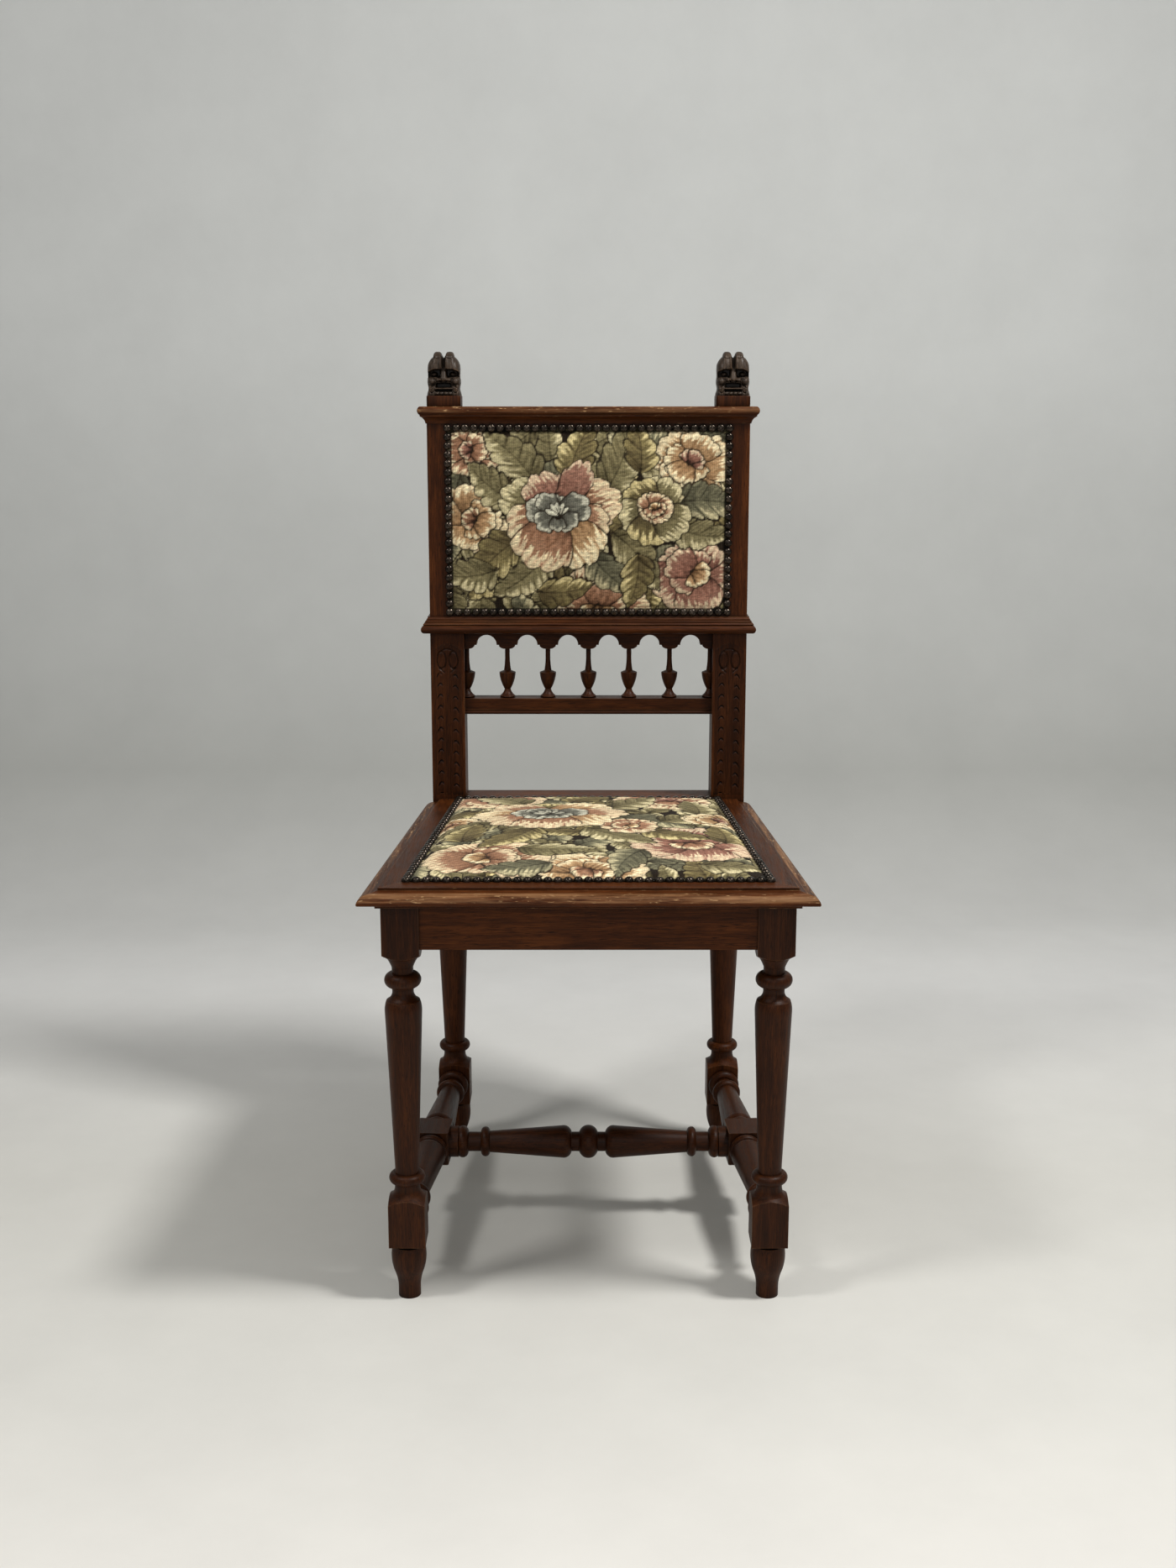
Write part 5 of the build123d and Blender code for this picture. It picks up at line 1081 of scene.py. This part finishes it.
class OBJECT_OT_chair_nails(bpy.types.Operator):
    """Set the domed nails round the seat and the back"""

    bl_idname = "object.chair_nails"
    bl_label = "Nails"

    def execute(self, context):
        soft = context.scene.chair_upholstery
        brass = nail_brass()
        sides = np.array([1.0, 0.0, 0.0])
        face = np.array([0.0, -math.cos(LEAN), math.sin(LEAN)])
        for word, line, place, normal in (
            (
                "seat", nail_line(SEAT_NAIL_LOW, SEAT_NAIL_HIGH, seat_half), seat_point,
                np.array([0.0, 0.0, 1.0]),
            ),
            ("back", nail_line(BACK_NAIL_LOW, BACK_NAIL_HIGH, back_half), back_point, face),
        ):
            spots = nail_rows(line, soft.nail_pitch / MM)
            centres = place(spots[:, 0], spots[:, 1], COVER_THICK)
            points, faces, tones = nail_heads(
                centres, normal, sides, soft.nail_radius / MM, soft.nail_height / MM, len(spots)
            )
            piece = build_piece(f"domed_nails_{word}", points, faces, brass)
            store_colour(piece, "patina", tones)
            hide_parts(f"{word}_nails")
            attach(piece, "root")
        return {"FINISHED"}


class OBJECT_OT_chair_seat_pad(bpy.types.Operator):
    """Stuff the seat and cover it with its tapestry"""

    bl_idname = "object.chair_seat_pad"
    bl_label = "Seat tapestry"

    def execute(self, context):
        soft = context.scene.chair_upholstery
        piece = stuffed_pad(
            soft, "seat", SEAT_NAIL_LOW, SEAT_NAIL_HIGH, seat_half, seat_point, seat_tapestry,
            soft.seat_crown, 0.4, "Y", (0.14, 1.02),
        )
        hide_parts("seat_cover", "seat_stuffing")
        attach(piece, "root")
        return {"FINISHED"}


class OBJECT_OT_chair_back_pad(bpy.types.Operator):
    """Stuff the back panel and cover it with its tapestry"""

    bl_idname = "object.chair_back_pad"
    bl_label = "Back tapestry"

    def execute(self, context):
        soft = context.scene.chair_upholstery
        piece = stuffed_pad(
            soft, "back", BACK_NAIL_LOW, BACK_NAIL_HIGH, back_half, back_point, back_tapestry,
            soft.back_crown, 0.15, "Z", (0.12, 0.88),
        )
        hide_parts("back_cover", "back_stuffing", "back_webbing", "back_hessian")
        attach(piece, "root")
        return {"FINISHED"}


class OBJECT_OT_chair_under_seat(bpy.types.Operator):
    """Stretch the hessian and the crossed webs under the seat"""

    bl_idname = "object.chair_under_seat"
    bl_label = "Webs and hessian"

    def execute(self, context):
        jute = plain_cloth("Jute web", "#7a6340", "#c4a878", 2.2, "XY")
        sacking = plain_cloth("Jute hessian", "#4f3d24", "#94784e", 1.6, "XY")
        low, high = (np.array(corner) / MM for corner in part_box("seat_webbing"))
        middle = 0.5 * (low + high)
        span = (2 * high[0], high[1] - low[1])
        points = []
        faces = []
        for k in range(WEB_COUNT):
            share = (k + 0.5) / WEB_COUNT
            x = WEB_SPREAD * span[0] * (share - 0.5)
            y = low[1] + span[1] * share
            z = middle[2]
            half = high[0] - (y + WEB_WIDTH / 2 - low[1]) * SEAT_SKEW
            lift = 0.25 * (high[2] - low[2]) * (1 - 2 * (k % 2))
            for wave in (
                ribbon([-half, y, z], [half, y, z], 0, lift, 0.0, span[0] / WEB_COUNT),
                ribbon([x, low[1], z], [x, high[1], z], 1, -lift, middle[1], span[1] / WEB_COUNT),
            ):
                faces.append(grid_quads(*wave.shape[:2], first=sum(len(p) for p in points)))
                points.append(wave.reshape(-1, 3))
        webs = build_piece("seat_webs", np.concatenate(points), np.concatenate(faces).tolist(), jute)
        thicken(webs, "Web thickness", WEB_THICK * MM)
        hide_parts("seat_webbing")
        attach(webs, "root")
        low, high = (np.array(corner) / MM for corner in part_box("seat_hessian"))
        s, y = np.meshgrid(np.linspace(-1, 1, 61), np.linspace(low[1], high[1], 61))
        x = s * (high[0] - (y - low[1]) * SEAT_SKEW)
        z = 0.5 * (low[2] + high[2]) + 0 * x
        cloth = build_piece(
            "seat_hessian_cloth", np.stack([x, y, z], axis=-1), grid_quads(*x.shape).tolist(), sacking
        )
        thicken(cloth, "Hessian thickness", SHEET_THICK * MM, 0.0)
        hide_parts("seat_hessian")
        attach(cloth, "root")
        return {"FINISHED"}


class OBJECT_OT_chair_back_lining(bpy.types.Operator):
    """Stretch the plain lining over the back of the stuffed panel"""

    bl_idname = "object.chair_back_lining"
    bl_label = "Back lining"

    def execute(self, context):
        low, high = (np.array(corner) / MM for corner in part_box("back_lining"))
        first = (low[2] - SEAT_TOP) / math.cos(LEAN)
        last = (high[2] - SEAT_TOP) / math.cos(LEAN)
        x, h = np.meshgrid(np.linspace(-high[0], high[0], 61), np.linspace(first + 0.3, last - 0.3, 49))
        rows = np.sin(math.pi * (h - first) / (last - first))
        sag = LINING_BELLY * np.sin(math.pi * (x / high[0] + 1) / 2) * rows
        lining = plain_cloth("Dark lining cotton", "#1c1712", "#40362b", 0.9, "XZ")
        piece = build_piece(
            "back_lining_cloth", back_point(x, h, sag - LINING_DEPTH),
            grid_quads(*x.shape)[:, ::-1].tolist(), lining,
        )
        thicken(piece, "Lining thickness", SHEET_THICK * MM)
        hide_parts("back_lining")
        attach(piece, "root")
        return {"FINISHED"}


class VIEW3D_PT_carved_chair(bpy.types.Panel):
    """Buttons and settings of the chair"""

    bl_label = "Carved Chair"
    bl_idname = "VIEW3D_PT_carved_chair"
    bl_space_type = "VIEW_3D"
    bl_region_type = "UI"
    bl_category = "Carved Chair"

    def draw(self, context):
        for operator in OPERATORS:
            self.layout.operator(operator.bl_idname)
        for group in (
            context.scene.chair_upholstery, context.scene.chair_wood, context.scene.chair_stage
        ):
            for key in group.__annotations__:
                self.layout.prop(group, key)


OPERATORS = (
    OBJECT_OT_chair_stage, OBJECT_OT_chair_wood, OBJECT_OT_chair_post_carving, OBJECT_OT_chair_finials,
    OBJECT_OT_chair_seat_pad, OBJECT_OT_chair_back_pad, OBJECT_OT_chair_nails, OBJECT_OT_chair_under_seat,
    OBJECT_OT_chair_back_lining,
)
SETTINGS = (ChairUpholsterySettings, ChairWoodSettings, ChairStageSettings)


def register():
    """Add the classes and the scene settings."""
    for cls in SETTINGS + OPERATORS + (VIEW3D_PT_carved_chair,):
        bpy.utils.register_class(cls)
    bpy.types.Scene.chair_upholstery = bpy.props.PointerProperty(type=ChairUpholsterySettings)
    bpy.types.Scene.chair_wood = bpy.props.PointerProperty(type=ChairWoodSettings)
    bpy.types.Scene.chair_stage = bpy.props.PointerProperty(type=ChairStageSettings)


def unregister():
    """Take the settings and classes away again."""
    del bpy.types.Scene.chair_stage
    del bpy.types.Scene.chair_wood
    del bpy.types.Scene.chair_upholstery
    for cls in reversed(SETTINGS + OPERATORS + (VIEW3D_PT_carved_chair,)):
        bpy.utils.unregister_class(cls)


def main():
    """Dress the chair in order."""
    register()
    bpy.ops.object.chair_stage()
    bpy.ops.object.chair_wood()
    bpy.ops.object.chair_post_carving()
    bpy.ops.object.chair_finials()
    bpy.ops.object.chair_seat_pad()
    bpy.ops.object.chair_back_pad()
    bpy.ops.object.chair_nails()
    bpy.ops.object.chair_under_seat()
    bpy.ops.object.chair_back_lining()


if __name__ == "__main__":
    main()
